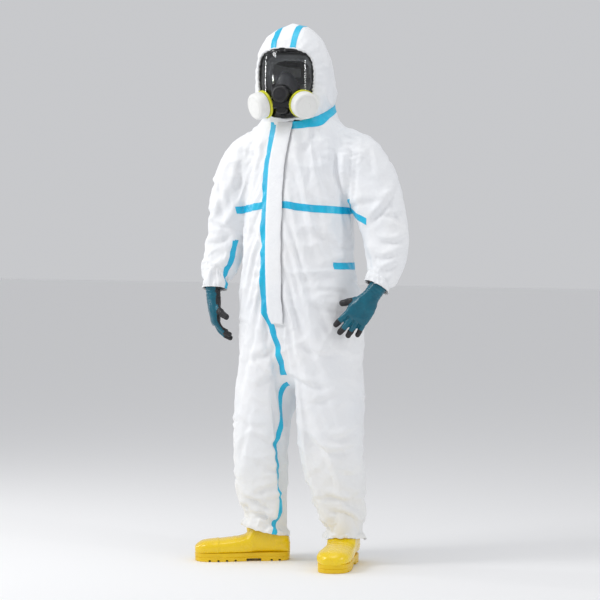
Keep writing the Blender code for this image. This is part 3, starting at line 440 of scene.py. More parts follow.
def simulate(obj):
    """Lets the fabric fall into folds over the mannequin and returns its points."""
    body = make_mannequin()
    rest = coordinates(obj.data)
    pins = obj.vertex_groups.new(name="pins")
    for i, weight in enumerate(pin_weights(rest)):
        if weight > 0:
            pins.add([i], float(weight), "REPLACE")
    cloth = obj.modifiers.new("cloth", "CLOTH")
    settings = cloth.settings
    settings.quality = 5
    settings.mass = 0.12
    settings.tension_stiffness = settings.compression_stiffness = 40
    settings.shear_stiffness = 20
    settings.bending_stiffness = 0.6
    settings.tension_damping = settings.compression_damping = settings.shear_damping = 8
    settings.bending_damping = 0.5
    settings.air_damping = 2.0
    settings.shrink_min = -GROWTH
    settings.vertex_group_mass = "pins"
    settings.pin_stiffness = 4
    settings.effector_weights.gravity = 0.7
    cloth.collision_settings.collision_quality = 2
    cloth.collision_settings.distance_min = 0.004
    cloth.point_cache.frame_start, cloth.point_cache.frame_end = 1, FRAMES
    for step in range(1, FRAMES + 1):
        SCENE.frame_set(step)
    graph = bpy.context.evaluated_depsgraph_get()
    found = coordinates(obj.evaluated_get(graph).data)
    obj.modifiers.clear()
    SCENE.frame_set(1)
    remove(body)
    moved = found - rest
    length = np.linalg.norm(moved, axis=1, keepdims=True)
    return rest + moved * np.minimum(1, CAP / np.maximum(length, 1e-9))


# --- sculpted folds ---
VIEW_ACROSS, VIEW_OUT = Vector((0.819, 0.574, 0.0)), Vector((0.574, -0.819, 0.0))
# ends of each fold as (place across the front three-quarter view, height), half width and depth in mm
FRONT_FOLDS = [
    # left sleeve: armhole, elbow and forearm
    ((0.172, 1.480), (0.157, 1.255), 11, 8),
    ((0.190, 1.500), (0.176, 1.235), 9, 5),
    ((0.222, 1.440), (0.246, 1.340), 10, 4),
    ((0.232, 1.175), (0.340, 1.310), 11, 9),
    ((0.262, 1.205), (0.372, 1.215), 9, 4),
    ((0.258, 1.115), (0.362, 1.128), 9, 6),
    ((0.246, 1.060), (0.345, 1.080), 9, 6),
    ((0.262, 1.020), (0.330, 1.040), 8, 4),
    ((0.296, 1.250), (0.352, 1.150), 9, 4),
    # right sleeve
    ((-0.292, 1.360), (-0.270, 1.150), 12, 5),
    ((-0.330, 1.185), (-0.232, 1.165), 10, 6),
    ((-0.322, 1.105), (-0.240, 1.135), 9, 5),
    ((-0.338, 1.045), (-0.255, 1.020), 9, 4),
    ((-0.205, 1.400), (-0.222, 1.250), 11, 6),
    # chest and belly
    ((0.045, 1.500), (0.010, 1.420), 12, 5),
    ((0.110, 1.470), (0.128, 1.290), 12, 5),
    ((-0.180, 1.180), (-0.110, 1.060), 11, 4),
    ((0.020, 1.150), (0.105, 1.120), 12, 4),
    ((0.060, 1.020), (0.185, 1.075), 12, 5),
    ((-0.060, 0.930), (-0.190, 0.965), 12, 4),
    ((0.010, 0.905), (0.175, 0.880), 13, 5),
    # crotch
    ((-0.075, 0.760), (-0.190, 0.700), 12, 6),
    ((-0.060, 0.715), (-0.150, 0.610), 11, 5),
    ((-0.040, 0.650), (0.085, 0.615), 11, 7),
    ((-0.010, 0.760), (0.110, 0.720), 12, 5),
    ((0.020, 0.560), (0.130, 0.600), 11, 4),
    # left knee and shin
    ((0.195, 0.470), (0.090, 0.435), 12, 8),
    ((0.200, 0.415), (0.075, 0.395), 11, 7),
    ((0.010, 0.470), (0.110, 0.380), 12, 6),
    ((0.205, 0.320), (0.120, 0.330), 10, 4),
    ((0.075, 0.245), (0.215, 0.190), 10, 7),
    ((0.090, 0.190), (0.200, 0.150), 9, 6),
    ((0.215, 0.250), (0.150, 0.215), 9, 4),
    # right knee and shin
    ((-0.235, 0.500), (-0.110, 0.470), 12, 5),
    ((-0.060, 0.410), (-0.175, 0.455), 11, 6),
    ((-0.055, 0.320), (-0.150, 0.350), 10, 5),
    ((-0.205, 0.225), (-0.100, 0.175), 10, 8),
    ((-0.190, 0.170), (-0.085, 0.145), 9, 5),
    ((-0.070, 0.270), (-0.165, 0.235), 9, 5),
]
LOOSE_FOLDS = 170
FOLD_DEPTH = 1.35
FOLD_STEPS = 14


def fold_lines(points, faces):
    """Curves on the fabric for every fold: the known ones at the front, then others all round."""
    tree = BVHTree.FromPolygons([Vector(p) for p in points], faces)

    def traced(across, out, a, b, height_bend):
        line = []
        for k in range(FOLD_STEPS):
            t = k / (FOLD_STEPS - 1)
            u, z = a[0] + (b[0] - a[0]) * t, a[1] + (b[1] - a[1]) * t - height_bend * math.sin(math.pi * t)
            hit, normal, _, _ = tree.ray_cast(across * u + out * 2 + Z * z, -out)
            if hit is not None:
                line.append((hit, normal))
        return line

    for a, b, wide, deep in FRONT_FOLDS:
        line = traced(VIEW_ACROSS, VIEW_OUT, a, b, 0.012 * (1 if a[1] > 0.3 else -0.5))
        if len(line) > 3:
            yield line, wide * MM, deep * MM
    random = np.random.default_rng(7)
    for _ in range(LOOSE_FOLDS):
        azimuth = random.uniform(0, 2 * math.pi)
        u, z = random.uniform(-0.36, 0.36), random.uniform(0.12, 1.50)
        tilt, length = random.normal(0.0, 0.55), random.uniform(0.05, 0.15)
        bend, wide, deep = random.uniform(-0.012, 0.012), random.uniform(7, 12), random.uniform(1.5, 4.5)
        out = Vector((math.sin(azimuth), -math.cos(azimuth), 0))
        if out.dot(VIEW_OUT) > 0.75:
            length, deep = length * 0.6, deep * 0.6
        half = Vector((math.cos(tilt), math.sin(tilt))) * length / 2
        line = traced(Z.cross(out), out, (u - half.x, z - half.y), (u + half.x, z + half.y), bend)
        if len(line) > 6:
            yield line, wide * MM, deep * MM


def crumple(p):
    """Height of the fabric's small crumples."""
    ridge = 1 - abs(noise.noise(p * 9 + Vector((0, 0, p.z * 2))))
    small = 1 - abs(noise.noise(p * 23 + Vector((5, 2, 1))))
    return (5.0 * (ridge**4 - 0.55) + 1.8 * (small**4 - 0.5)) * MM


def gathers(points):
    """Height of the pleats that the elastic pulls into the cuffs and the hems."""
    height = np.zeros(len(points))
    for name, (side, arm, _) in SIDES.items():
        cuff, way = limb_plane(arm, CUFF_Z[name], True)
        hem, down = hem_plane(name)
        for (point, way), reach, pleats, tall, on in (
            ((cuff, way), 0.050, 17, 2.2, (points[:, 0] * side > HIP_HALF - 0.01) & (points[:, 2] < 1.1)),
            ((hem, down.normalized()), 0.060, 19, 2.6, (points[:, 0] * side > 0) & (points[:, 2] < 0.3)),
        ):
            away = -(points - point) @ np.array(way)
            angle = np.arctan2(points[:, 1] - point.y, points[:, 0] - point.x)
            wave = np.sin(angle * pleats + 2.2 * np.sin(angle * 3 + 1)) * (0.7 + 0.4 * np.sin(angle * 5))
            drawn_in = 8 * MM * np.exp(-np.maximum(away, 0) / 0.014) if point is hem else 0.0
            height += np.where(on, tall * MM * wave * np.exp(-np.maximum(away, 0) / reach) - drawn_in, 0)
    return height


def folded(points, faces):
    """The fabric's points with folds pressed in along their lines, and small crumples everywhere."""
    height = np.array([crumple(Vector(p)) for p in points]) + gathers(points)
    for line, wide, deep in fold_lines(points, faces):
        path = np.array([p for p, _ in line])
        middle, reach = path.mean(axis=0), np.linalg.norm(path - path.mean(axis=0), axis=1).max() + 4 * wide
        near = np.nonzero(np.linalg.norm(points - middle, axis=1) < reach)[0]
        offset = points[near][:, None, :] - path[None]
        distance = np.linalg.norm(offset, axis=2)
        closest = distance.argmin(axis=1)
        way = np.gradient(path, axis=0)
        across = np.cross(np.array([n for _, n in line]), way)
        across /= np.linalg.norm(across, axis=1, keepdims=True).clip(1e-9)
        across *= np.sign(across[:, 2:3] + 1e-6)
        side = np.einsum("ij,ij->i", offset[np.arange(len(near)), closest], across[closest])
        along = closest / (len(path) - 1)
        taper = np.sin(np.pi * np.clip(along, 0.02, 0.98)) ** 0.7
        away = np.sqrt(np.maximum(distance.min(axis=1) ** 2 - side**2, 0))
        beyond = np.exp(-((away / (2 * wide)) ** 2))
        profile = -np.exp(-((side / wide) ** 2)) + 0.75 * np.exp(-(((side - 1.9 * wide) / (1.3 * wide)) ** 2))
        height[near] += FOLD_DEPTH * deep * profile * taper * beyond
    return height


def held_flat(points):
    """Where folds fade out: 0 at the collar and the zip."""
    free = np.ones(len(points))

    def fade(distance, none, full):
        np.minimum(free, np.clip((distance - none) / (full - none), 0, 1), out=free)

    front = (points[:, 1] < -0.05) & (points[:, 2] > 0.83)
    fade(np.where(front, np.abs(points[:, 0]), 9), 0.036, 0.075)
    point, up = neck_plane(0, True)
    fade(np.abs((points - point) @ np.array(up)), 0.004, 0.05)
    return free


def solid_tree(mesh):
    points = [v.co.copy() for v in mesh.vertices]
    return BVHTree.FromPolygons(points, [tuple(f.vertices) for f in mesh.polygons])


def cleared(points, tree, margin, where):
    """Moves the chosen points out of a closed solid they have sunk into, or come too near."""
    points = points.copy()
    for i in np.nonzero(where)[0]:
        p = Vector(points[i])
        near, normal, _, distance = tree.find_nearest(p, 0.05)
        if near is None:
            continue
        inside_solid = (p - near).dot(normal) < 0
        if inside_solid or distance < margin:
            points[i] = near + normal * margin
    return points


def subdivided(mesh, points):
    """The mesh at the given points, with each face divided in four."""
    copy = mesh.copy()
    set_coordinates(copy, points)
    obj = bpy.data.objects.new("fine", copy)
    SCENE.collection.objects.link(obj)
    modifier = obj.modifiers.new("fine", "SUBSURF")
    modifier.levels = modifier.render_levels = 1
    fine = applied(obj).data.copy()
    remove(obj)
    return fine


def master_of(mesh, rest, final, solids):
    """A bmesh at rest, that knows for each point where it ends up and its normal there."""
    fine_rest, fine_final = subdivided(mesh, rest), subdivided(mesh, final)
    points, normals = coordinates(fine_final), normals_of(fine_final)
    faces = [tuple(face.vertices) for face in fine_final.polygons]
    height = folded(points, faces) * held_flat(coordinates(fine_rest))
    points = smoothed(points + normals * height[:, None], edges_of(fine_final), 1, 0.3)
    for name, (side, _, _) in SIDES.items():
        low = (points[:, 2] < 0.34) & (points[:, 0] * side > 0)
        points = cleared(points, solids[f"boot_{name}"][1], 5 * MM, low)
        hand = (points[:, 2] < 1.02) & (points[:, 0] * side > 0.25)
        points = cleared(points, solids[f"glove_{name}"][1], 3 * MM, hand)
    set_coordinates(fine_final, points)
    return layered(fine_rest, points, normals_of(fine_final))


def layered(mesh, final, normals):
    bm = bmesh.new()
    bm.from_mesh(mesh)
    place, normal = bm.verts.layers.float_vector.new("place"), bm.verts.layers.float_vector.new("normal")
    for vert, p, n in zip(bm.verts, final, normals):
        vert[place], vert[normal] = p, n
    return bm


def patch(master, planes, wanted=None, warp=None):
    """The part of a master inside the planes, as a new bmesh at rest. warp bends the planes' outline."""
    bm = master.copy()
    if warp is not None:
        for vert in bm.verts:
            vert.co = warp(vert.co)
    clip(bm, planes)
    if wanted is not None:
        gone = [f for f in bm.faces if not wanted(f.calc_center_median())]
        bmesh.ops.delete(bm, geom=gone, context="FACES")
    return bm


def settle(bm, name, material, lift=None):
    """Moves a patch to its final place, lifted off it, keeping the fabric's own normals."""
    place, normal = bm.verts.layers.float_vector["place"], bm.verts.layers.float_vector["normal"]
    lifts = [lift(v.co) if lift else 0.0 for v in bm.verts]
    for vert, height in zip(bm.verts, lifts):
        vert.co = vert[place] + vert[normal] * height
    loose = [v for v in bm.verts if not v.link_faces]
    bmesh.ops.delete(bm, geom=loose, context="VERTS")
    normals = [v[normal].normalized() for v in bm.verts]
    bm.verts.layers.float_vector.remove(place)
    bm.verts.layers.float_vector.remove(bm.verts.layers.float_vector["normal"])
    obj = new_object(name, bm)
    obj.data.shade_smooth()
    if lift is None:
        obj.data.normals_split_custom_set_from_vertices(normals)
    obj.data.materials.append(material)
    return obj


def fold_edge(bm, depth, wanted=lambda co: True):
    """Turns the open edge of a patch inwards, so that it shows its thickness."""
    normal = bm.verts.layers.float_vector["normal"]
    place = bm.verts.layers.float_vector["place"]
    rim = [e for e in bm.edges if len(e.link_faces) == 1 and wanted((e.verts[0].co + e.verts[1].co) / 2)]
    made = bmesh.ops.extrude_edge_only(bm, edges=rim)
    for vert in (g for g in made["geom"] if isinstance(g, bmesh.types.BMVert)):
        vert[place] = vert[place] - vert[normal] * depth
    return bm


def row_point(point):
    return tuple(Vector(point) - ORIGIN)


def to_row(obj):
    obj.data.transform(Matrix.Translation(-ORIGIN))
    return obj


def riding(obj, body, nodes=(), slot="fabric"):
    to_row(obj)
    if nodes:
        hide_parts(*nodes)
    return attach(obj, body)


def blended(obj, bodies, start, end, nodes=(), slot="fabric"):
    to_row(obj)
    if nodes:
        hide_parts(*nodes)
    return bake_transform(obj, *bodies, start=row_point(start), end=row_point(end))


# --- the fabric's pieces ---
# Widest girth, length and area of each piece, measured on the smooth CAD panels that it
# replaces, before any fold: (width, length), area
FLAT = {
    "trunk": ((1.590, 1.107), 1.272),
    "hood": ((0.648, 0.338), 0.196),
    "sleeve_upper_right": ((0.373, 0.287), 0.082),
    "sleeve_upper_left": ((0.546, 0.313), 0.112),
    "sleeve_lower_right": ((0.454, 0.323), 0.122),
    "sleeve_lower_left": ((0.507, 0.341), 0.131),
    "leg_right": ((0.688, 0.412), 0.245),
    "leg_left": ((0.705, 0.415), 0.255),
    "flap": ((0.071, 0.679), 0.048),
}


def declare_sheet(key):
    flat, area = FLAT[key]
SHOULDER_START, SHOULDER_END = 0.2062, 0.250
SLEEVE_SPLIT_Z = 1.238
THIGH_SPLIT_Z = 0.56


# below the armpit the sleeves hang clear of the trunk: heights, and the sideways place of the gap
GAP_Z = (0.86, 0.93, 0.985, 1.04, 1.06)
GAP_X = (0.2475, 0.243, 0.233, 0.218, SHOULDER_START)


ARMPIT_SEARCH = 0.006  # how near the line between sleeve and trunk an open edge lies


def is_sleeve(co, side):
    return co.x * side > np.interp(co.z, GAP_Z, GAP_X) and co.z > 0.86


def close_armpit(bm, side, arm, reach):
    """Fills the opening left where a sleeve rests against the trunk, below the sleeve's split.

    The fill lies between the two pieces. reach is how far above the split it starts.
    """
    split, way = limb_plane(arm, SLEEVE_SPLIT_Z, True)

    def on_rim(co):
        off = abs(co.x * side - np.interp(co.z, GAP_Z, GAP_X))
        return off < ARMPIT_SEARCH and 0.90 < co.z and (co - split).dot(way) > -reach

    rim = [e for e in bm.edges if e.is_boundary and all(on_rim(v.co) for v in e.verts)]
    rim = [e for e in rim if any((v.co - split).dot(way) > 1 * MM - reach for v in e.verts)]
    count = {}
    for edge in rim:
        for vert in edge.verts:
            count[vert] = count.get(vert, 0) + 1
    ends = sorted((v for v, uses in count.items() if uses == 1), key=lambda v: v.co.y)
    if len(ends) >= 2:
        a, b = ends[0], ends[-1]
        rim.append(bm.edges.get((a, b)) or bm.edges.new((a, b)))
        made = bmesh.ops.triangle_fill(bm, edges=rim, use_beauty=True)["geom"]
        fill = [f for f in made if isinstance(f, bmesh.types.BMFace)]
        joined = [e for e in rim if e.is_valid and len(e.link_faces) == 2]
        if sum(not e.is_contiguous for e in joined) > len(joined) / 2:
            bmesh.ops.reverse_faces(bm, faces=fill)
        for face in fill:
            face.smooth = True
        for edge in joined:
            edge.smooth = False
        loose = [e for e in bm.edges if not e.link_faces]
        bmesh.ops.delete(bm, geom=loose, context="EDGES")


def zip_opening(co):
    return abs(co.x) < ZIP_HALF and co.y < -0.05 and co.z > ZIP_BOTTOM


def make_coverall(m, solids):
    obj = cut_coverall()
    rest = coordinates(obj.data)
    final = simulate(obj)
    final = smoothed(final, edges_of(obj.data), 1, 0.35)
    master = master_of(obj.data, rest, final, solids)
    remove(obj)
    for side in (-1, 1):
        for planes in ([outside(side, SHOULDER_START)], [outside(side, ZIP_HALF)]):
            for point, normal in planes:
                bmesh.ops.bisect_plane(
                    master, geom=master.verts[:] + master.edges[:] + master.faces[:], dist=1e-6,
                    plane_co=Vector(point), plane_no=Vector(normal),
                )
    trunk = patch(
        master,
        [above(THIGH_SPLIT_Z)],
        lambda c: not is_sleeve(c, 1) and not is_sleeve(c, -1) and not zip_opening(c),
    )
    for side, arm, _ in SIDES.values():
        close_armpit(trunk, side, arm, 0.012)
    fold_edge(trunk, 1.5 * MM, lambda c: abs(c.x) < 0.02 and c.y < 0 and c.z > ZIP_BOTTOM - 0.01)
    trunk = settle(trunk, "coverall_trunk", m["fabric"])
    nodes = ["yoke_front_right", "yoke_front_left", "body_front_right", "body_front_left", "back_panel"]
    riding(trunk, "suit", nodes + ["trouser_top", "armhole_right", "armhole_left", "waist_elastic"])
    declare_sheet("trunk")
    for name in SIDES:
        make_sleeve(master, name, m)
        make_leg(master, name, m)
    return master


def make_sleeve(master, name, m):
    side, arm, _ = SIDES[name]
    split, way = limb_plane(arm, SLEEVE_SPLIT_Z, True)
    upper = patch(master, [(split, way)], lambda c: is_sleeve(c, side))
    upper = settle(upper, f"sleeve_upper_{name}_fabric", m["fabric"])
    start = (side * SHOULDER_START, arm[1][0][1], 1.40)
    end = (side * SHOULDER_END, arm[1][0][1], 1.40)
    bodies = ("suit", f"upper_sleeve_{name}")
    blended(upper, bodies, start, end, [f"sleeve_upper_{name}"])
    declare_sheet(f"sleeve_upper_{name}")
    lower = patch(master, [(split, -way)], lambda c: is_sleeve(c, side))
    close_armpit(lower, side, arm, 0.0)
    cuff, cuff_way = limb_plane(arm, CUFF_Z[name], True)
    fold_edge(lower, 9 * MM, lambda c: (c - cuff).dot(cuff_way) > -0.006)
    lower = settle(lower, f"sleeve_lower_{name}_fabric", m["fabric"])
    start, end = (limb_plane(arm, z, True)[0] for z in ELBOW_Z)
    bodies = (f"upper_sleeve_{name}", f"forearm_{name}")
    nodes = [f"sleeve_elbow_{name}", f"sleeve_forearm_{name}", f"cuff_elastic_{name}"]
    blended(lower, bodies, start, end, nodes)
    declare_sheet(f"sleeve_lower_{name}")


def make_leg(master, name, m):
    side, _, leg = SIDES[name]
    bm = patch(master, [below(THIGH_SPLIT_Z), outside(side, 0)])
    hem, down = hem_plane(name)
    fold_edge(bm, 7 * MM, lambda c: (c - hem).dot(down.normalized()) > -0.006)
    bm = settle(bm, f"trouser_leg_{name}_fabric", m["fabric"])
    knee = Vector(leg[3][0])
    start, end = Vector((knee.x, knee.y, KNEE_TOP_Z + 0.02)), Vector((knee.x, knee.y, KNEE_BOTTOM_Z - 0.01))
    blended(bm, ("suit", f"shin_{name}"), start, end, [f"trouser_knee_{name}", f"trouser_shin_{name}"])
    declare_sheet(f"leg_{name}")


# --- seam tapes, on the fabric ---
TAPE_LIFT = 0.7 * MM


def make_tape(master, name, planes, m, bodies, nodes, ends=None, wanted=None, warp=None):
    bm = patch(master, planes, wanted, warp)
    fold_edge(bm, 1.0 * MM)
    obj = settle(bm, name, m["tape"], lambda co: TAPE_LIFT)
    if ends:
        return blended(obj, bodies, *ends, nodes, "tape")
    return riding(obj, bodies, nodes, "tape")


def strip(centre, facing, half):
    side = Z.cross(facing)
    return [(centre + side * half, side), (centre - side * half, -side), (centre, -facing)]


FLAP_TURN_Z = 0.871  # where the tape beside the flap turns in towards the crotch


def leaned(co):
    """The flap's top leans a little towards the wearer's left."""
    return co - X * 0.015 * smoothstep((co.z - 1.36) / 0.16)


def make_tapes(master, m):
    half = TAPE_WIDTH / 2
    front = ((0, -0.005, 0), (0, 1, 0))
    edge = -FLAP_HALF + 1.5 * MM, -FLAP_HALF - TAPE_WIDTH
    off_sleeve = lambda c: abs(c.x) < SHOULDER_START
    chest = [above(CHEST_SEAM_Z - half), below(CHEST_SEAM_Z + half), front]
    right, left = ((edge[1] + 1 * MM, 0, 0), (1, 0, 0)), ((FLAP_HALF - 10 * MM, 0, 0), (-1, 0, 0))
    for name, end in (("right", right), ("left", left)):
        node = f"tape_chest_{name}"
        make_tape(master, f"{node}_strip", chest + [end], m, "suit", [node], wanted=off_sleeve)
    flap = [((edge[0], 0, 0), (1, 0, 0)), ((edge[1], 0, 0), (-1, 0, 0)), front, above(FLAP_TURN_Z)]
    make_tape(master, "tape_flap_edge_strip", flap, m, "suit", ["tape_flap_edge"], warp=leaned)
    collar = [neck_plane(-TAPE_WIDTH, False)]
    clear = lambda c: not (c.x < FLAP_HALF + 8 * MM and c.y < 0.02) and abs(c.x) < ARMHOLE_IN
    make_tape(master, "tape_collar_strip", collar, m, "suit", ["tape_collar"], wanted=clear)
    waist = [above(WAIST_TAPE_Z - half), below(WAIST_TAPE_Z + half), ((0, WAIST_TAPE_START_Y, 0), (0, -1, 0))]
    make_tape(master, "tape_waist_strip", waist, m, "suit", ["tape_waist"], wanted=off_sleeve)
    make_crotch_tape(master, m)
    for name in SIDES:
        make_sleeve_tape(master, name, m)


# heights down a leg, and how far the inseam's tape wanders off its line there
INSEAM_Z = (0.08, 0.13, 0.24, 0.27, 0.31, 0.34, 0.41, 0.52, 0.59, 0.65)
INSEAM_WANDER = (-0.012, 0.004, 0.014, -0.006, 0.014, 0.012, -0.012, 0.012, 0.004, 0.004)


def inseam(name):
    """The planes either side of the tape down the inside of one leg."""
    side, _, leg = SIDES[name]
    forward = 0.24 if side < 0 else -0.46  # the left one is out of sight in the photo
    facing = Vector((-side * 0.97, -forward, 0)).normalized()
    axis = (Vector(leg[1][0]) - Vector(leg[5][0])).normalized()
    across = axis.cross(facing).normalized()
    centre = Vector(leg[3][0])
    half = THIN_TAPE / 2
    edges = [(centre + across * half, across), (centre - across * half, -across)]
    return edges + [(centre, -facing), outside(side, 2 * MM)]


def wander(co):
    return co - VIEW_ACROSS * float(np.interp(co.z, INSEAM_Z, INSEAM_WANDER))


def make_crotch_tape(master, m):
    """The tape down the front from the flap to the crotch, and down the inside of both legs."""
    down = [*inside(TAPE_WIDTH / 2), below(FLAP_TURN_Z), above(CROTCH_Z + 0.012)]
    front = ((0, 0.02, 0), (0, 1, 0))

    heights, shifts = (0.757, 0.825, 0.845, FLAP_TURN_Z), (0.0, -0.019, -0.030, -0.0443)

    def straightened(co):
        return co - X * float(np.interp(co.z, heights, shifts))

    make_tape(master, "tape_crotch_strip", down + [front], m, "suit", ["tape_crotch"], warp=straightened)
    for name, (_, _, leg) in SIDES.items():
        thigh = inseam(name) + [below(CROTCH_Z + 0.005), above(THIGH_SPLIT_Z)]
        make_tape(master, f"tape_thigh_{name}_strip", thigh, m, "suit", [], warp=wander)
        knee = Vector(leg[3][0])
        ends = Vector((knee.x, knee.y, KNEE_TOP_Z + 0.02)), Vector((knee.x, knee.y, KNEE_BOTTOM_Z - 0.01))
        shin = inseam(name) + [below(THIGH_SPLIT_Z)]
        node, bodies = f"tape_inseam_{name}", ("suit", f"shin_{name}")
        make_tape(master, f"{node}_strip", shin, m, bodies, [node], ends, warp=wander)


def make_sleeve_tape(master, name, m):
    side, arm, _ = SIDES[name]
    if name == "right":
        planes = strip(Vector(arm[6][0]), Vector((0.995, 0.08, 0)), THIN_TAPE / 2)
    else:
        facing, axis = Vector((-0.80, 0.60, 0)), (Vector(arm[4][0]) - Vector(arm[7][0])).normalized()
        across = axis.cross(facing).normalized()
        centre, half = Vector(arm[5][0]), THIN_TAPE / 2
        planes = [(centre + across * half, across), (centre - across * half, -across), (centre, -facing)]
    ends = tuple(limb_plane(arm, z, True)[0] for z in ELBOW_Z)
    bodies = (f"upper_sleeve_{name}", f"forearm_{name}")
    on = lambda c: is_sleeve(c, side) and c.z < 1.135
    make_tape(master, f"tape_sleeve_{name}_strip", planes, m, bodies, [f"tape_sleeve_{name}"], ends, on)


def make_armhole_tapes(master, m):
    """The chest tape's end under the left arm, and the bit of the armhole's tape that shows beside it."""
    half, bodies = TAPE_WIDTH / 2, ("suit", "upper_sleeve_left")
    start, end = (SHOULDER_START, ARM_LEFT[1][0][1], 1.40), (SHOULDER_END, ARM_LEFT[1][0][1], 1.40)
    front = ((0, 0.02, 0), (0, 1, 0))
    on = lambda c: is_sleeve(c, 1)

    def sloped(co):
        return co + Z * 0.40 * (co.x - SHOULDER_START)

    chest_end = (VIEW_ACROSS * 0.232, VIEW_ACROSS)
    chest = [above(CHEST_SEAM_Z - half), below(CHEST_SEAM_Z + half), chest_end, front]
    make_tape(master, "tape_chest_left_end", chest, m, bodies, [], (start, end), on, sloped)
    armhole = [(VIEW_ACROSS * 0.182, VIEW_ACROSS), (VIEW_ACROSS * 0.173, -VIEW_ACROSS)]
    armhole += [above(1.232), below(1.275)]
    make_tape(master, "tape_armhole_left_end", armhole + [front], m, bodies, [], (start, end), on)


# --- the flap over the zip ---
def make_flap(master, m):
    """A double layer of fabric over the zip, sewn on the wearer's right and free on the left."""
    sides = [((FLAP_HALF, 0, 0), (1, 0, 0)), ((-FLAP_HALF, 0, 0), (-1, 0, 0))]
    corner = (-FLAP_HALF, 0, FLAP_TURN_Z), (-0.87, 0, -0.49)
    ends = [((0, -0.05, 0), (0, 1, 0)), above(ZIP_BOTTOM - 8 * MM), below(ZIP_TOP + 30 * MM)]
    bm = patch(master, sides + ends + [corner], warp=leaned)

    def height(co):
        from_sewn, from_free = co.x + FLAP_HALF, FLAP_HALF - co.x
        rise = min(from_sewn / (9 * MM), 1.0) * 5.4 * MM + min(from_free / (7 * MM), 1.0) * 1.6 * MM
        ripple = noise.noise(Vector((co.x * 14, 0.3, co.z * 22))) * 0.5 + 0.5
        top = smoothstep((1.528 - co.z) / 0.030)
        return 1.0 * MM + (rise + ripple * 2.2 * MM * min(from_sewn / (15 * MM), 1.0)) * top

    fold_edge(bm, 2.2 * MM)
    obj = settle(bm, "storm_flap_fabric", m["fabric"], height)
    riding(obj, "flap", ["storm_flap"])
    declare_sheet("flap")


# --- the respirator's rim, in head coordinates: face towards -Y, centre line on Z ---
RIM = [
    (0.0, 1.536),
    (0.034, 1.540),
    (0.058, 1.556),
    (0.078, 1.588),
    (0.092, 1.630),
    (0.096, 1.680),
    (0.091, 1.724),
    (0.074, 1.750),
    (0.040, 1.760),
    (0.0, 1.762),
]
RIM_MIDDLE_Z = 1.65
VALVE = Vector((0, 0, 1.612))
VALVE_FRONT = -0.141  # where the front of the valve's chamber is along Y
FILTER_OUT, FILTER_DOWN = math.radians(40), math.radians(15)
FILTER_CENTRE = (0.0835, -0.1246, 1.5732)
PORTS = {"right": -1, "left": 1}
TO_HEAD = Matrix.Translation(HEAD) @ Matrix.Rotation(HEAD_YAW, 4, "Z")


def rim_points(count):
    loop = RIM + [(-x, z) for x, z in reversed(RIM[1:-1])]
    wrapped = loop[-1:] + loop + loop[:2]
    fine = spline(wrapped, 24 * (len(wrapped) - 1) + 1)[24:-48]
    return [fine[round(k * len(fine) / count) % len(fine)] for k in range(count)]


def rim_table():
    offsets = [(x, z - RIM_MIDDLE_Z) for x, z in rim_points(240)]
    points = sorted((math.atan2(x, z), math.hypot(x, z)) for x, z in offsets)
    angles, radii = [a for a, _ in points], [r for _, r in points]
    return np.array(angles), np.array(radii)


RIM_ANGLES, RIM_RADII = rim_table()


def rim_radius(angle):
    return float(np.interp(angle, RIM_ANGLES, RIM_RADII, period=2 * math.pi))


def mask_y(x, z):
    return -0.128 + 0.058 * (abs(x) / 0.096) ** 2.2 + 1.2 * (z - 1.67) ** 2


def half_width(z):
    points = sorted((z_, x_) for x_, z_ in rim_points(240) if x_ >= 0)
    return float(np.interp(z, [p[0] for p in points], [p[1] for p in points]))


def filter_axis(side):
    level = math.cos(FILTER_DOWN)
    across, forward = side * math.sin(FILTER_OUT) * level, -math.cos(FILTER_OUT) * level
    return Vector((across, forward, -math.sin(FILTER_DOWN)))


def filter_centre(side):
    return Vector((side * FILTER_CENTRE[0], *FILTER_CENTRE[1:]))


# --- the hood ---
FACE_GROW = 7 * MM
HOOD_JOIN = 45 * MM


def smoothstep(t):
    t = min(max(t, 0.0), 1.0)
    return t * t * (3 - 2 * t)


def beyond_rim(p):
    """How far outside the face opening a point in head coordinates lies, and its angle about the opening."""
    angle = math.atan2(p.x, p.z - RIM_MIDDLE_Z)
    return math.hypot(p.x, p.z - RIM_MIDDLE_Z) - rim_radius(angle) - FACE_GROW, angle


def hood_folds(p):
    """Height of the hood's folds at a point: gathers round the face, creases elsewhere."""
    away, angle = beyond_rim(p)
    away = max(away, 0.0) + max(p.y + 0.03, 0.0)
    phase = 30 * angle + 2.6 * noise.noise(Vector((angle * 2.2, 1.7, 0)))
    gathers = math.sin(phase) * (0.6 + 0.5 * noise.noise(Vector((angle * 5, 4.1, 0))))
    height = 2.3 * MM * gathers * math.exp(-away / 0.022)
    soft = noise.noise(Vector((p.x * 11, p.y * 9, p.z * 9)) + Vector((3.1, 0, 0)))
    crease = 1 - abs(noise.noise(Vector((p.x * 15, p.y * 12 + p.z * 7, p.z * 12)) * 1.3))
    neck = smoothstep((1.66 - p.z) / 0.08)
    upright = noise.noise(Vector((math.atan2(p.x, -p.y) * 6.5, 0.7, p.z * 9)))
    height += 3.5 * MM * soft + 5.0 * MM * (crease**3 - 0.35) * (0.5 + 0.8 * neck) + 6.0 * MM * upright * neck
    height *= 1.5
    return height * (0.25 + 0.75 * smoothstep(away / 0.02)) if away < 0.02 else height


def collar_loop(master):
    """The coverall's finished collar edge, as angle about the neck and position."""
    place = master.verts.layers.float_vector["place"]
    point, up = neck_plane(0, True)
    loop = []
    for edge in master.edges:
        if len(edge.link_faces) == 1:
            for vert in edge.verts:
                if abs((vert.co - point).dot(up)) < 0.012 and vert.co.z > 1.4:
                    p = vert[place]
                    loop.append((math.atan2(p.x, -(p.y + 0.01)), p.x, p.y, p.z))
    return np.array(sorted(loop))


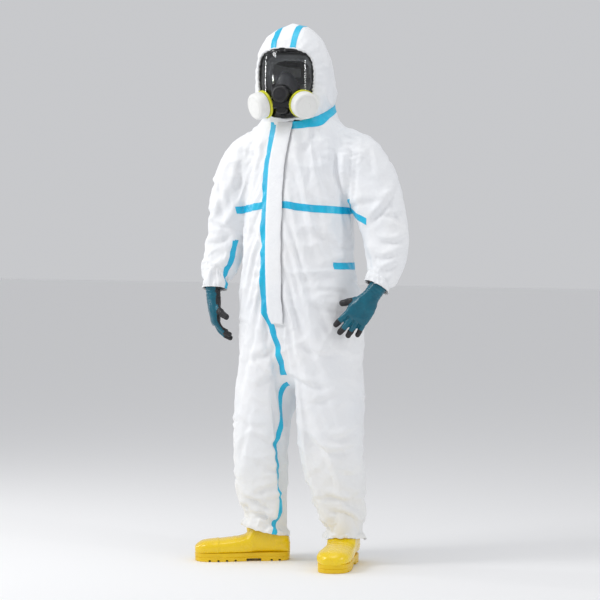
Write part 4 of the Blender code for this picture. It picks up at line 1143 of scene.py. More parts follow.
def at_angle(loop, angle):
    return Vector([np.interp(angle, loop[:, 0], loop[:, k], period=2 * math.pi) for k in (1, 2, 3)])


def cut_hood():
    """The hood's fabric as a smooth surface, open at the face and the collar."""
    bm = bmesh.new()
    loft_into(bm, level_rings(HOOD + [(1.8595, 0.006, -0.001, 0.012)], 0.0, 190, 130, HEAD, HEAD_YAW))
    clip(bm, [neck_plane(0, False)])
    to_local = TO_HEAD.inverted()

    def in_face(p):
        p = to_local @ p
        return p.y < -0.02 and beyond_rim(p)[0] < 0

    gone = [f for f in bm.faces if in_face(f.calc_center_median())]
    bmesh.ops.delete(bm, geom=gone, context="FACES")
    for vert in {v for e in bm.edges if len(e.link_faces) == 1 for v in e.verts}:
        p = to_local @ vert.co
        away, angle = beyond_rim(p)
        if p.y < -0.02 and abs(away) < 0.012:
            radius = rim_radius(angle) + FACE_GROW
            p.x, p.z = radius * math.sin(angle), RIM_MIDDLE_Z + radius * math.cos(angle)
            vert.co = TO_HEAD @ p
    bmesh.ops.recalc_face_normals(bm, faces=bm.faces)
    return new_object("hood_cut", bm)


def hood_master(coverall):
    obj = cut_hood()
    rest, normal = coordinates(obj.data), normals_of(obj.data)
    to_local = TO_HEAD.inverted()
    collar = collar_loop(coverall)
    point, up = neck_plane(0, True)
    seam = np.array(sorted(
        (math.atan2(x, -(y + 0.01)), x, y, z)
        for x, y, z in rest
        if abs((Vector((x, y, z)) - point).dot(up)) < 1e-4
    ))
    final = rest.copy()
    for i, (p, n) in enumerate(zip(rest, normal)):
        p, n = Vector(p), Vector(n)
        rise = max((p - point).dot(up), 0.0)
        angle = math.atan2(p.x, -(p.y + 0.01))
        joined = 1 - smoothstep(rise / HOOD_JOIN)
        shift = (at_angle(collar, angle) - at_angle(seam, angle)) * joined if joined > 0 else Vector()
        fold = hood_folds(to_local @ p) * smoothstep(rise / 0.02)
        tuck = smoothstep((0.036 - abs(p.x)) / 0.008) * (1 - smoothstep(rise / 0.012)) if p.y < 0 else 0.0
        final[i] = p + shift + n * fold - Z * 9 * MM * tuck
    set_coordinates(obj.data, final)
    master = layered(obj.data, final, normals_of(obj.data))
    for vert, p in zip(master.verts, rest):
        vert.co = p
    remove(obj)
    return master


def make_hood(coverall, m):
    master = hood_master(coverall)
    bm = patch(master, [])
    rim = face_edge(bm)
    fold_edge(bm, 2 * MM, lambda c: c.z > 1.53 and (TO_HEAD.inverted() @ c).y < -0.02)
    hood = settle(bm, "hood_fabric", m["fabric"])
    riding(hood, "suit", ["hood_centre", "hood_side_right", "hood_side_left", "hood_neck"])
    declare_sheet("hood")
    make_face_elastic(rim, m)
    turn = Matrix.Rotation(HEAD_YAW, 3, "Z")
    for name, side in PORTS.items():
        middle, half = 0.034, THIN_TAPE / 2
        planes = [(HEAD + turn @ X * side * (middle + d * half), turn @ X * side * d) for d in (1, -1)]
        planes += [((HEAD + turn @ Y * 0.02), turn @ Y), above(1.70)]
        make_tape(master, f"tape_hood_{name}_strip", planes, m, "suit", [f"tape_hood_{name}"])


def face_edge(bm):
    """The finished edge of the hood's face opening, as points in order."""
    place = bm.verts.layers.float_vector["place"]
    to_local = TO_HEAD.inverted()
    found = []
    for vert in {v for e in bm.edges if len(e.link_faces) == 1 for v in e.verts}:
        p = to_local @ vert.co
        away, angle = beyond_rim(p)
        if p.y < -0.02 and abs(away) < 0.004:
            found.append((angle, *(to_local @ vert[place])))
    return np.array(sorted(found))


def make_face_elastic(rim, m):
    """The gathered elastic round the face: a soft tube, pinched into pleats."""
    count, sides = 420, 10
    bm = bmesh.new()
    rings = []
    for k in range(count):
        angle = 2 * math.pi * k / count - math.pi
        p = at_angle(rim, angle)
        out = Vector((math.sin(angle), 0, math.cos(angle)))
        pleat = math.sin(angle * 46 + 3 * noise.noise(Vector((angle * 3, 0, 2.2))))
        radius = 4.6 * MM * (1 + 0.20 * pleat)
        centre = p + Y * 1.0 * MM - out * 1.5 * MM
        around = np.linspace(0, 2 * math.pi, sides, endpoint=False)
        rings.append([centre + (out * math.cos(a) + Y * math.sin(a)) * radius for a in around])
    loft_into(bm, rings + rings[:1], caps=False)
    bmesh.ops.remove_doubles(bm, verts=bm.verts, dist=1e-6)
    finish_head(bm, "hood_face_gather", m["elastic"], ["hood_face_elastic"], "elastic")


def finish_head(bm, name, material, nodes, slot, body="suit", sharp=35):
    """An object from a bmesh in head coordinates."""
    bmesh.ops.recalc_face_normals(bm, faces=bm.faces)
    bmesh.ops.transform(bm, matrix=TO_HEAD, verts=bm.verts)
    obj = new_object(name, bm)
    obj.data.shade_smooth()
    obj.data.set_sharp_from_angle(angle=math.radians(sharp))
    obj.data.materials.append(material)
    riding(obj, body, nodes, slot)
    return obj


# --- the respirator ---
def revolve_into(bm, origin, axis, profile, sides=72, ripple=None):
    """Adds a turned solid: profile is a list of (radius, place along the axis)."""
    across = axis.cross(Z if abs(axis.z) < 0.9 else X).normalized()
    other = axis.cross(across)
    rings = []
    for radius, at in profile:
        ring = []
        for k in range(sides):
            a = 2 * math.pi * k / sides
            r = radius * (1 + (ripple(a, radius, at) if ripple else 0.0))
            ring.append(origin + axis * at + (across * math.cos(a) + other * math.sin(a)) * r)
        rings.append(ring)
    loft_into(bm, rings)


def make_visor_frame(m):
    """The frame that clamps the lens to the face seal: a rounded band with a groove, closed by two lugs."""
    section = []
    for k in range(20):
        a = 2 * math.pi * k / 20
        c, s = math.cos(a), math.sin(a)
        across = math.copysign(abs(c) ** 0.75, c) * 5.4 * MM
        depth = math.copysign(abs(s) ** 0.75, s) * 4.6 * MM
        groove = 0.9 * MM if s < -0.8 and abs(c) < 0.35 else 0.0
        section.append((across, depth + groove))
    bm = bmesh.new()
    rings = []
    points = rim_points(220)
    for i, (x, z) in enumerate(points):
        (x0, z0), (x1, z1) = points[i - 1], points[(i + 1) % len(points)]
        out = Vector((z1 - z0, 0, x0 - x1)).normalized()
        out = out if out.dot(Vector((x, 0, z - RIM_MIDDLE_Z))) > 0 else -out
        centre = Vector((x, mask_y(x, z), z))
        rings.append([centre + out * a + Y * d for a, d in section])
    loft_into(bm, rings + rings[:1], caps=False)
    bmesh.ops.remove_doubles(bm, verts=bm.verts, dist=1e-6)
    for x, z, wide, tall in ((0.0, 1.7625, 0.012, 0.0075), (0.0, 1.5365, 0.010, 0.0065)):
        steps = ((0.004, 1.0), (-0.0045, 1.0), (-0.0062, 0.86))
        middle = Vector((x, mask_y(x, z), z))
        loft_into(bm, [oval(middle + Y * d, X, Z, wide * s, tall * s, 24, 3.5) for d, s in steps])
    finish_head(bm, "visor_frame_moulding", m["black_plastic"], ["visor_frame"], "black_plastic")


def shield_into(bm, bottom, top, inset, wall, count, width, bulge=0.0):
    """Adds a solid patch of the respirator's bowed front between two heights."""
    outer = []
    for i in range(count):
        z = bottom + (top - bottom) * i / (count - 1)
        half = half_width(z) - inset
        row = []
        for j in range(width):
            x = half * (2 * j / (width - 1) - 1)
            row.append(Vector((x, mask_y(x, z) - bulge * (1 - (x / 0.1) ** 2), z)))
        outer.append(row)
    inner = [[p + Y * wall for p in row] for row in outer]
    grids = [[[bm.verts.new(p) for p in row] for row in side] for side in (outer, inner)]
    for grid in grids:
        for i in range(count - 1):
            for j in range(width - 1):
                bm.faces.new((grid[i][j], grid[i][j + 1], grid[i + 1][j + 1], grid[i + 1][j]))
    rim = [(0, j) for j in range(width)] + [(i, width - 1) for i in range(1, count)]
    rim += [(count - 1, j) for j in range(width - 2, -1, -1)] + [(i, 0) for i in range(count - 2, 0, -1)]
    for (i, j), (k, n) in zip(rim, rim[1:] + rim[:1]):
        bm.faces.new((grids[0][i][j], grids[1][i][j], grids[1][k][n], grids[0][k][n]))


def make_visor_lens(m):
    bm = bmesh.new()
    shield_into(bm, 1.5965, 1.7585, 2.0 * MM, 2.0 * MM, 48, 56)
    finish_head(bm, "visor_lens_shield", m["lens"], ["visor_lens"], "lens", sharp=50)


def make_housing(m):
    """The moulding below the lens: valve chamber in the middle, a port for a filter on each side."""
    bm = bmesh.new()
    shield_into(bm, 1.5400, 1.5975, 2.0 * MM, 4.5 * MM, 24, 56, bulge=1.2 * MM)
    chamber = [
        (0.0330, -0.100),
        (0.0330, -0.121),
        (0.0318, -0.126),
        (0.0312, -0.1375),
        (0.0302, -0.1402),
        (0.0275, VALVE_FRONT),
        (0.0262, VALVE_FRONT + 0.0012),
        (0.0206, VALVE_FRONT + 0.0018),
        (0.0200, VALVE_FRONT + 0.0075),
    ]
    revolve_into(bm, Vector((0, 0, VALVE.z)), Y, list(reversed(chamber)))
    for side in PORTS.values():
        axis = filter_axis(side)
        neck = [(0.0240, -0.062), (0.0235, -0.046), (0.0215, -0.043)]
        neck += [(0.0215, -0.038), (0.0230, -0.0365), (0.0230, -0.0302)]
        revolve_into(bm, filter_centre(side), axis, neck, 48)
    bridge = ((-0.112, 0.052, 0.017), (-0.128, 0.048, 0.015), (-0.1335, 0.040, 0.011))
    loft_into(bm, [oval(Vector((0, y, 1.578)), X, Z, a, b, 40, 3.0) for y, a, b in bridge])
    chin = ((-0.104, 0.026, 0.016), (-0.126, 0.022, 0.013), (-0.130, 0.017, 0.009))
    loft_into(bm, [oval(Vector((0, y, 1.558)), X, Z, a, b, 32, 2.6) for y, a, b in chin])
    finish_head(bm, "mask_housing_moulding", m["black_plastic"], ["mask_housing"], "black_plastic")


def make_valve_cover(m):
    """The cap over the exhalation valve, with rings and a slot round its skirt."""
    bm = bmesh.new()
    profile = [
        (0.0296, VALVE_FRONT - 0.0004),
        (0.0300, VALVE_FRONT - 0.0030),
        (0.0282, VALVE_FRONT - 0.0075),
        (0.0262, VALVE_FRONT - 0.0108),
        (0.0235, VALVE_FRONT - 0.0124),
        (0.0190, VALVE_FRONT - 0.0130),
        (0.0182, VALVE_FRONT - 0.0122),
        (0.0168, VALVE_FRONT - 0.0122),
        (0.0160, VALVE_FRONT - 0.0132),
        (0.0080, VALVE_FRONT - 0.0138),
        (0.0072, VALVE_FRONT - 0.0130),
        (0.0010, VALVE_FRONT - 0.0130),
    ]

    def ripple(angle, radius, at):
        return -0.045 if 0.0255 < radius < 0.029 and math.sin(angle * 12) > 0.55 else 0.0

    revolve_into(bm, Vector((0, 0, VALVE.z)), Y, profile, 144, ripple)
    finish_head(bm, "valve_cover_cap", m["black_rubber"], ["exhale_valve_cover"], "black_plastic")


def make_seal(m):
    """The rubber skirt from the frame back to the face."""
    skirt = [(0.960, 0.008, 0.0), (0.930, 0.020, 0.15), (0.840, 0.024, 0.62), (0.740, 0.014, 0.92)]
    steps = spline(skirt, 14)
    rings = []
    for wall in (0.0, 1.8 * MM):
        part = []
        for scale, back, flat in steps:
            ring = []
            for x, z in rim_points(120):
                depth = mask_y(x, z) + back + (-0.035 - mask_y(x, z)) * flat
                shift = Vector((x, z - RIM_MIDDLE_Z)).normalized() * wall
                level = RIM_MIDDLE_Z + (z - RIM_MIDDLE_Z) * scale - shift.y
                ring.append(Vector((x * scale - shift.x, depth, level)))
            part.append(ring)
        rings += part if wall == 0.0 else part[::-1]
    bm = bmesh.new()
    loft_into(bm, rings + rings[:1], caps=False)
    bmesh.ops.remove_doubles(bm, verts=bm.verts, dist=1e-6)
    inside_rim = [-beyond_rim(v.co)[0] - FACE_GROW for v in bm.verts]
    seal = finish_head(bm, "face_seal_skirt", m["seal"], ["face_seal"], "black_rubber", sharp=60)
    deep = seal.data.attributes.new("deep", "FLOAT", "POINT")
    deep.data.foreach_set("value", [smoothstep((d - 0.011) / 0.004) for d in inside_rim])


def make_nose_cup(m):
    """The inner cup over nose and mouth, seen through the lens: narrow over the nose, wide at the chin."""
    rows = [
        (-0.118, 1.612, 0.020, 0.026, 0.018),
        (-0.113, 1.616, 0.029, 0.052, 0.026),
        (-0.100, 1.620, 0.037, 0.067, 0.036),
        (-0.078, 1.622, 0.044, 0.068, 0.046),
        (-0.052, 1.622, 0.047, 0.062, 0.050),
    ]
    rings = []
    for wall in (0.0, 1.8 * MM):
        part = []
        for y, z, half, up, down in spline(rows, 16):
            ring = []
            for k in range(56):
                a = 2 * math.pi * k / 56
                c, s = (math.copysign(abs(v) ** 0.66, v) for v in (math.cos(a), math.sin(a)))
                tall = (up if s > 0 else down) - wall
                narrow = 1 - 0.46 * max(s, 0) ** 1.1
                ring.append(Vector((c * (half - wall) * narrow, y + wall * 1.1, z + s * tall)))
            part.append(ring)
        rings += part if wall == 0.0 else part[::-1]
    bm = bmesh.new()
    loft_into(bm, rings[::-1], caps=False)
    finish_cup(bm)
    finish_head(bm, "nose_cup_moulding", m["grey_rubber"], ["nose_cup"], "black_rubber", sharp=60)


def finish_cup(bm):
    """Closes the front of the cup's outer and inner walls, which meet at the back."""
    bmesh.ops.remove_doubles(bm, verts=bm.verts, dist=1e-6)
    rim = [e for e in bm.edges if len(e.link_faces) == 1]
    bmesh.ops.holes_fill(bm, edges=rim, sides=0)


def make_filters(m):
    for name, side in PORTS.items():
        body = [
            (0.0150, -0.0196),
            (0.0400, -0.0196),
            (0.0450, -0.0175),
            (0.0460, -0.0130),
            (0.0460, -0.0040),
            (0.0452, -0.0030),
            (0.0452, -0.0018),
            (0.0460, -0.0008),
            (0.0458, 0.0080),
            (0.0445, 0.0130),
            (0.0415, 0.0165),
            (0.0380, 0.0180),
            (0.0355, 0.0182),
            (0.0348, 0.0174),
            (0.0335, 0.0174),
            (0.0328, 0.0184),
            (0.0130, 0.0190),
            (0.0122, 0.0183),
            (0.0010, 0.0183),
        ]
        bm = bmesh.new()
        revolve_into(bm, filter_centre(side), filter_axis(side), body, 96)
        rider, node = f"filter_{name}", f"filter_body_{name}"
        finish_head(bm, f"{rider}_canister", m["filter"], [node], "filter", rider)
        ring = [
            (0.0150, -0.0300),
            (0.0420, -0.0300),
            (0.0462, -0.0292),
            (0.0480, -0.0272),
            (0.0482, -0.0222),
            (0.0474, -0.0202),
            (0.0150, -0.0202),
        ]

        def ripple(angle, radius, at):
            return 0.012 if radius > 0.043 and math.sin(angle * 36) > 0 else 0.0

        bm = bmesh.new()
        revolve_into(bm, filter_centre(side), filter_axis(side), ring, 216, ripple)
        node, slot = f"filter_ring_{name}", "filter_ring"
        finish_head(bm, f"filter_{name}_collar", m[slot], [node], slot, f"filter_{name}")


# --- gloves ---
# distance from the wrist, half width, half thickness
PALM = [
    (-0.050, 0.0300, 0.0260),
    (-0.004, 0.0295, 0.0245),
    (0.030, 0.0390, 0.0230),
    (0.062, 0.0440, 0.0195),
    (0.090, 0.0420, 0.0150),
    (0.099, 0.0380, 0.0110),
]
# place across the palm, distance from the wrist, length, radius
FINGERS = [
    (0.0310, 0.086, 0.066, 0.0112),
    (0.0105, 0.091, 0.074, 0.0115),
    (-0.0105, 0.089, 0.068, 0.0112),
    (-0.0310, 0.082, 0.054, 0.0102),
]
HANDS = {
    "right": ((-0.297, -0.110, 0.916), (0.10, 0.0, -0.995), (-0.75, -0.66, 0), 62, 1.0),
    "left": ((0.332, -0.062, 0.930), (-0.476, -0.333, -0.814), (0.574, -0.819, 0), 20, 5.0),
}
GLOVE_VOXEL = 1.9 * MM


def finger_into(bm, frame, base, way, length, radius, curl):
    """Adds a closed finger bent towards the palm, thicker at its joints, and returns its tip."""
    _, _, back = frame
    point, direction, rings = base - way * 0.016, way.copy(), []
    hinge = direction.cross(back).normalized()
    segments = 14
    for k in range(segments + 1):
        t = k / segments
        knuckle = 0.07 * math.exp(-(((t - 0.55) / 0.07) ** 2)) + 0.05 * math.exp(-(((t - 0.80) / 0.06) ** 2))
        size = radius * (1 - 0.16 * t + knuckle)
        rings.append(oval(point, hinge, hinge.cross(direction), size * 1.02, size * 0.96, 18))
        direction.rotate(Matrix.Rotation(-curl / segments, 3, hinge))
        point = point + direction * ((length + 0.016) / segments)
    tip = rings[-1]
    middle = sum(tip, Vector()) / len(tip)
    for scale, reach in ((0.93, 0.22), (0.80, 0.42), (0.60, 0.58), (0.32, 0.68)):
        end = middle + direction * radius * reach
        rings.append([end + (p - middle) * scale for p in tip])
    loft_into(bm, rings)
    return middle


def hand_frame(name):
    wrist, along, back, curl, spread = HANDS[name]
    along, back = Vector(along).normalized(), Vector(back)
    back = (back - along * back.dot(along)).normalized()
    thumb = back.cross(along) if name == "right" else along.cross(back)
    return Vector(wrist), (along, thumb, back), math.radians(curl), spread


def make_glove(name, m):
    wrist, frame, curl, spread = hand_frame(name)
    along, thumb, back = frame
    bm = bmesh.new()
    rings = []
    for s, wide, thick in spline(PALM, 22):
        rings.append(oval(wrist + along * s, thumb, along.cross(thumb), wide, thick, 40, 2.4))
    loft_into(bm, rings)
    tips = []
    for across, start_at, length, radius in FINGERS:
        way = (along + thumb * (across * spread)).normalized()
        base = wrist + along * start_at + thumb * across
        tips.append(finger_into(bm, frame, base, way, length, radius, curl))
    way = (along * 0.72 + thumb * 0.66 - back * 0.22).normalized()
    base = wrist + along * 0.038 + thumb * 0.030 - back * 0.006
    thumb_tip = finger_into(bm, frame, base, way, 0.056, 0.0132, curl * 0.4)
    obj = remeshed(new_object(f"glove_{name}_shell", bm), GLOVE_VOXEL)
    obj.data = obj.data.copy()
    points = smoothed(coordinates(obj.data), edges_of(obj.data), 4)
    set_coordinates(obj.data, points)
    solid = solid_tree(obj.data)
    normal = normals_of(obj.data)
    for i, (p, n) in enumerate(zip(points, normal)):
        points[i] = Vector(p) + Vector(n) * glove_creases(Vector(p), wrist, frame)
    set_coordinates(obj.data, points)
    bm = bmesh.new()
    bm.from_mesh(obj.data)
    clip(bm, [(wrist - along * 0.046, -along)])
    rim = [e for e in bm.edges if len(e.link_faces) == 1]
    made = bmesh.ops.extrude_edge_only(bm, edges=rim)
    for vert in (g for g in made["geom"] if isinstance(g, bmesh.types.BMVert)):
        vert.co += (wrist - along * 0.046 - vert.co).normalized() * 1.6 * MM + along * 0.004
    bm.to_mesh(obj.data)
    bm.free()
    paint_glove(obj, frame[2], base, thumb_tip, tips)
    obj.data.shade_smooth()
    obj.data.materials.append(m["glove"])
    return obj, solid


def glove_creases(p, wrist, frame):
    """Height of the creases in the glove's rubber: rings at the cuff and slack folds over the hand."""
    along, thumb, back = frame
    q = p - wrist
    s, t, b = q.dot(along), q.dot(thumb), q.dot(back)
    cuff = math.exp(-(((s + 0.020) / 0.030) ** 2))
    ring = math.sin(s * 520 + 3.0 * noise.noise(Vector((t * 30, b * 30, 0)))) * cuff
    slack = 1 - abs(noise.noise(Vector((s * 26, t * 34, b * 34)) + Vector((0, 5.3, 0))))
    fine = noise.noise(Vector((s * 70, t * 60, b * 60)))
    return 0.55 * MM * ring + 1.5 * MM * (slack**4 - 0.45) + 0.35 * MM * fine


def paint_glove(obj, back, thumb_base, thumb_tip, tips):
    """Marks where the glove was dipped: palm, thumb and fingertips, with a soft edge."""
    points, normal = coordinates(obj.data), normals_of(obj.data)
    palm = 0.5 - 1.6 * (normal @ np.array(back) + 0.12)
    near_tip = np.min([np.linalg.norm(points - np.array(t), axis=1) for t in tips], axis=0)
    fingertip = (0.026 - near_tip) / 0.004
    a, b = np.array(thumb_base + (thumb_tip - thumb_base) * 0.42), np.array(thumb_tip)
    line = b - a
    t = np.clip(((points - a) @ line) / (line @ line), 0, 1)
    on_thumb = (0.0175 - np.linalg.norm(points - a - t[:, None] * line, axis=1)) / 0.003
    dip = np.clip(np.max([palm, fingertip, on_thumb], axis=0), 0, 1)
    attribute = obj.data.attributes.new("dip", "FLOAT", "POINT")
    attribute.data.foreach_set("value", dip.astype(np.float32))


# --- boots ---
# place along the foot from the ankle, half width, height
BOOT_FOOT = [
    (-0.076, 0.024, 0.070),
    (-0.062, 0.039, 0.110),
    (-0.020, 0.044, 0.150),
    (0.036, 0.045, 0.150),
    (0.058, 0.047, 0.118),
    (0.076, 0.048, 0.090),
    (0.140, 0.054, 0.078),
    (0.196, 0.053, 0.073),
    (0.226, 0.043, 0.067),
    (0.246, 0.020, 0.052),
]
# height, centre towards the toe, half sizes along and across the foot
BOOT_SHAFT = [
    (0.078, 0.001, 0.066, 0.043),
    (0.150, 0.004, 0.070, 0.050),
    (0.230, 0.002, 0.068, 0.054),
    (0.310, 0.0, 0.070, 0.058),
]
SOLE_OUTLINE = [
    (-0.081, 0.000),
    (-0.078, 0.016),
    (-0.066, 0.034),
    (-0.030, 0.043),
    (0.050, 0.044),
    (0.100, 0.049),
    (0.150, 0.055),
    (0.196, 0.054),
    (0.228, 0.044),
    (0.246, 0.022),
    (0.251, 0.000),
]
SOLE_GROOVES = (-0.042, -0.014, 0.112, 0.142, 0.172, 0.202)
SOLE_TOP = 30 * MM
ANKLES = {"right": Vector((-0.121, -0.036, 0)), "left": Vector((0.152, 0.045, 0))}
BOOT_VOXEL = 2.6 * MM


def boot_detail(f, w, z):
    """Height of the moulded ribs of a boot at a place along the foot, across it and up."""
    def ridge(at, middle, width):
        return math.exp(-(((at - middle) / width) ** 2))

    cap = ridge(f - 0.10 * abs(w), 0.168, 0.0028) * (1.0 if z < 0.085 else 0.0)
    toe = 1.0 if f - 0.10 * abs(w) > 0.168 else 0.0
    heel = ridge(z, 0.078, 0.003) * float(f < -0.02) + ridge(z, 0.060, 0.003) * float(f < -0.03)
    bands = ridge(z, 0.292, 0.004) + ridge(z, 0.276, 0.003)
    crease = math.sin((f - 0.105) * 260) * ridge(f, 0.105, 0.022) * smoothstep((z - 0.06) / 0.02)
    return (1.2 * cap + 0.7 * toe + 1.0 * heel + 1.3 * bands + 0.7 * crease) * MM


def make_boot(name, m):
    ankle, toe = ANKLES[name], foot_direction(FOOT_YAW[name])
    side = Z.cross(toe)
    bm = bmesh.new()
    floor = SOLE_TOP - 0.004
    rings = []
    for f, w, h in spline(BOOT_FOOT, 60):
        f, w = f + 4 * MM * (f - 0.085) / 0.16, w + 3 * MM
        ring = []
        for i in range(48):
            c, s = math.cos(2 * math.pi * i / 48), math.sin(2 * math.pi * i / 48)
            across = math.copysign(abs(c) ** 0.8, c) * w
            up = (h - floor) / 2 * (1 + math.copysign(abs(s) ** (0.85 if s > 0 else 0.35), s))
            ring.append(ankle + toe * f + side * across + Z * (floor + up))
        rings.append(ring)
    loft_into(bm, rings)
    side_way = Z.cross(toe)
    shaft = [oval(ankle + toe * f + Z * z, toe, side_way, a, b, 56) for z, f, a, b in spline(BOOT_SHAFT, 40)]
    loft_into(bm, shaft)
    obj = remeshed(new_object(f"boot_{name}_upper", bm), BOOT_VOXEL)
    obj.data = obj.data.copy()
    points = smoothed(coordinates(obj.data), edges_of(obj.data), 6)
    set_coordinates(obj.data, points)
    solid = solid_tree(obj.data)
    normal = normals_of(obj.data)
    for i, (p, n) in enumerate(zip(points, normal)):
        q = Vector(p) - ankle
        points[i] = Vector(p) + Vector(n) * boot_detail(q.dot(toe), q.dot(side), q.z)
    set_coordinates(obj.data, points)
    bm = bmesh.new()
    bm.from_mesh(obj.data)
    clip(bm, [below(0.306)])
    rim = [e for e in bm.edges if len(e.link_faces) == 1]
    inner = bmesh.ops.extrude_edge_only(bm, edges=rim)["geom"]
    for vert in (g for g in inner if isinstance(g, bmesh.types.BMVert)):
        vert.co += (ankle + Z * 0.306 - vert.co).normalized() * 3 * MM
    inner_rim = [g for g in inner if isinstance(g, bmesh.types.BMEdge) and len(g.link_faces) == 1]
    lining = bmesh.ops.extrude_edge_only(bm, edges=inner_rim)["geom"]
    for vert in (g for g in lining if isinstance(g, bmesh.types.BMVert)):
        vert.co -= Z * 0.06
    bm.to_mesh(obj.data)
    bm.free()
    obj.data.shade_smooth()
    obj.data.materials.append(m["boot"])
    make_sole(name, ankle, toe, side, m)
    return obj, solid


def make_sole(name, ankle, toe, side, m):
    """The cleated sole, with a welt that stands a little proud of the upper."""
    half = spline(SOLE_OUTLINE, 70)
    outline = half + [(f, -w) for f, w in reversed(half[1:-1])]
    profile = [(0.0, -0.0030), (0.0012, -0.0008), (0.0140, 0.0), (0.0150, -0.0016)]
    profile += [(0.0165, 0.0), (0.0270, 0.0006), (0.0292, -0.0004), (SOLE_TOP, -0.0030)]
    middle = Vector((sum(f for f, _ in outline) / len(outline), 0))
    rings = []
    for z, grow in profile:
        ring = []
        for f, w in outline:
            away = Vector((f - middle.x, w))
            away = away + away.normalized() * grow
            ring.append(ankle + toe * (middle.x + away.x) + side * away.y + Z * z)
        rings.append(ring)
    bm = bmesh.new()
    loft_into(bm, rings)
    bmesh.ops.recalc_face_normals(bm, faces=bm.faces)
    sole = new_object(f"boot_{name}_sole", bm)
    cutters = bmesh.new()
    turn = Matrix.Translation(ankle) @ Matrix.Rotation(math.atan2(-toe.x, toe.y), 4, "Z")
    grooves = [(f, 0.008, 0.0065) for f in SOLE_GROOVES] + [(0.048, 0.052, 0.010)]
    for f, width, depth in grooves:
        made = bmesh.ops.create_cube(cutters, size=1.0)
        shape = Matrix.Translation((0, f, depth / 2 - 0.01)) @ Matrix.Diagonal((0.16, width, depth + 0.02, 1))
        bmesh.ops.transform(cutters, matrix=turn @ shape, verts=made["verts"])
    cutter = new_object("grooves", cutters)
    modifier = sole.modifiers.new("grooves", "BOOLEAN")
    modifier.operation, modifier.solver, modifier.object = "DIFFERENCE", "EXACT", cutter
    applied(sole)
    remove(cutter)
    sole.data.shade_smooth()
    sole.data.set_sharp_from_angle(angle=math.radians(30))
    sole.data.materials.append(m["sole"])
    to_row(sole)
    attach(sole, f"shin_{name}")


# --- materials ---
class Nodes:
    """A small helper round one material's node tree."""

    def __init__(self, name):
        self.material = bpy.data.materials.new(name)
        self.material.use_nodes = True
        self.tree = self.material.node_tree
        self.shader = self.tree.nodes["Principled BSDF"]
        self.where = self.tree.nodes.new("ShaderNodeTexCoord").outputs["Object"]

    def set(self, **values):
        for key, value in values.items():
            socket = self.shader.inputs[key.replace("_", " ").title().replace("Ior", "IOR")]
            socket.default_value = (*value, 1.0) if isinstance(value, tuple) else value
        return self

    def link(self, out, socket):
        self.tree.links.new(out, socket)
        return self

    def moved(self, scale=(1, 1, 1)):
        node = self.tree.nodes.new("ShaderNodeMapping")
        node.inputs["Scale"].default_value = scale
        self.tree.links.new(self.where, node.inputs["Vector"])
        return node.outputs["Vector"]

    def noise(self, scale, detail=3.0, roughness=0.55, distortion=0.0, stretch=(1, 1, 1)):
        node = self.tree.nodes.new("ShaderNodeTexNoise")
        node.inputs["Scale"].default_value = scale
        node.inputs["Detail"].default_value = detail
        node.inputs["Roughness"].default_value = roughness
        node.inputs["Distortion"].default_value = distortion
        self.tree.links.new(self.moved(stretch), node.inputs["Vector"])
        return node.outputs["Fac"]

    def cells(self, scale, feature="F1", stretch=(1, 1, 1)):
        node = self.tree.nodes.new("ShaderNodeTexVoronoi")
        node.feature = feature
        node.inputs["Scale"].default_value = scale
        self.tree.links.new(self.moved(stretch), node.inputs["Vector"])
        return node.outputs["Distance"]

    def math(self, operation, a, b=0.0):
        node = self.tree.nodes.new("ShaderNodeMath")
        node.operation = operation
        for socket, value in zip(node.inputs, (a, b)):
            if isinstance(value, (int, float)):
                socket.default_value = value
            else:
                self.tree.links.new(value, socket)
        return node.outputs[0]

    def height(self, name="Z"):
        node = self.tree.nodes.new("ShaderNodeSeparateXYZ")
        self.tree.links.new(self.where, node.inputs[0])
        return node.outputs[name]

    def ramp(self, value, stops):
        node = self.tree.nodes.new("ShaderNodeValToRGB")
        elements = node.color_ramp.elements
        while len(elements) < len(stops):
            elements.new(0.5)
        for element, (at, colour) in zip(elements, stops):
            element.position = at
            element.color = (*colour, 1.0) if isinstance(colour, tuple) else (colour, colour, colour, 1.0)
        self.tree.links.new(value, node.inputs["Fac"])
        return node.outputs["Color"]

    def mix(self, factor, a, b):
        node = self.tree.nodes.new("ShaderNodeMix")
        node.data_type = "RGBA"
        for socket, value in ((node.inputs["Factor"], factor), (node.inputs["A"], a), (node.inputs["B"], b)):
            if isinstance(value, tuple):
                socket.default_value = (*value, 1.0)
            elif isinstance(value, (int, float)):
                socket.default_value = value
            else:
                self.tree.links.new(value, socket)
        return node.outputs["Result"]

    def bump(self, height, strength, distance, below=None):
        node = self.tree.nodes.new("ShaderNodeBump")
        node.inputs["Strength"].default_value = strength
        node.inputs["Distance"].default_value = distance
        self.tree.links.new(height, node.inputs["Height"])
        if below is not None:
            self.tree.links.new(below, node.inputs["Normal"])
        return node.outputs["Normal"]

    def normal(self, out):
        return self.link(out, self.shader.inputs["Normal"])

    def colour(self, out):
        return self.link(out, self.shader.inputs["Base Color"])

    def rough(self, out):
        return self.link(out, self.shader.inputs["Roughness"])


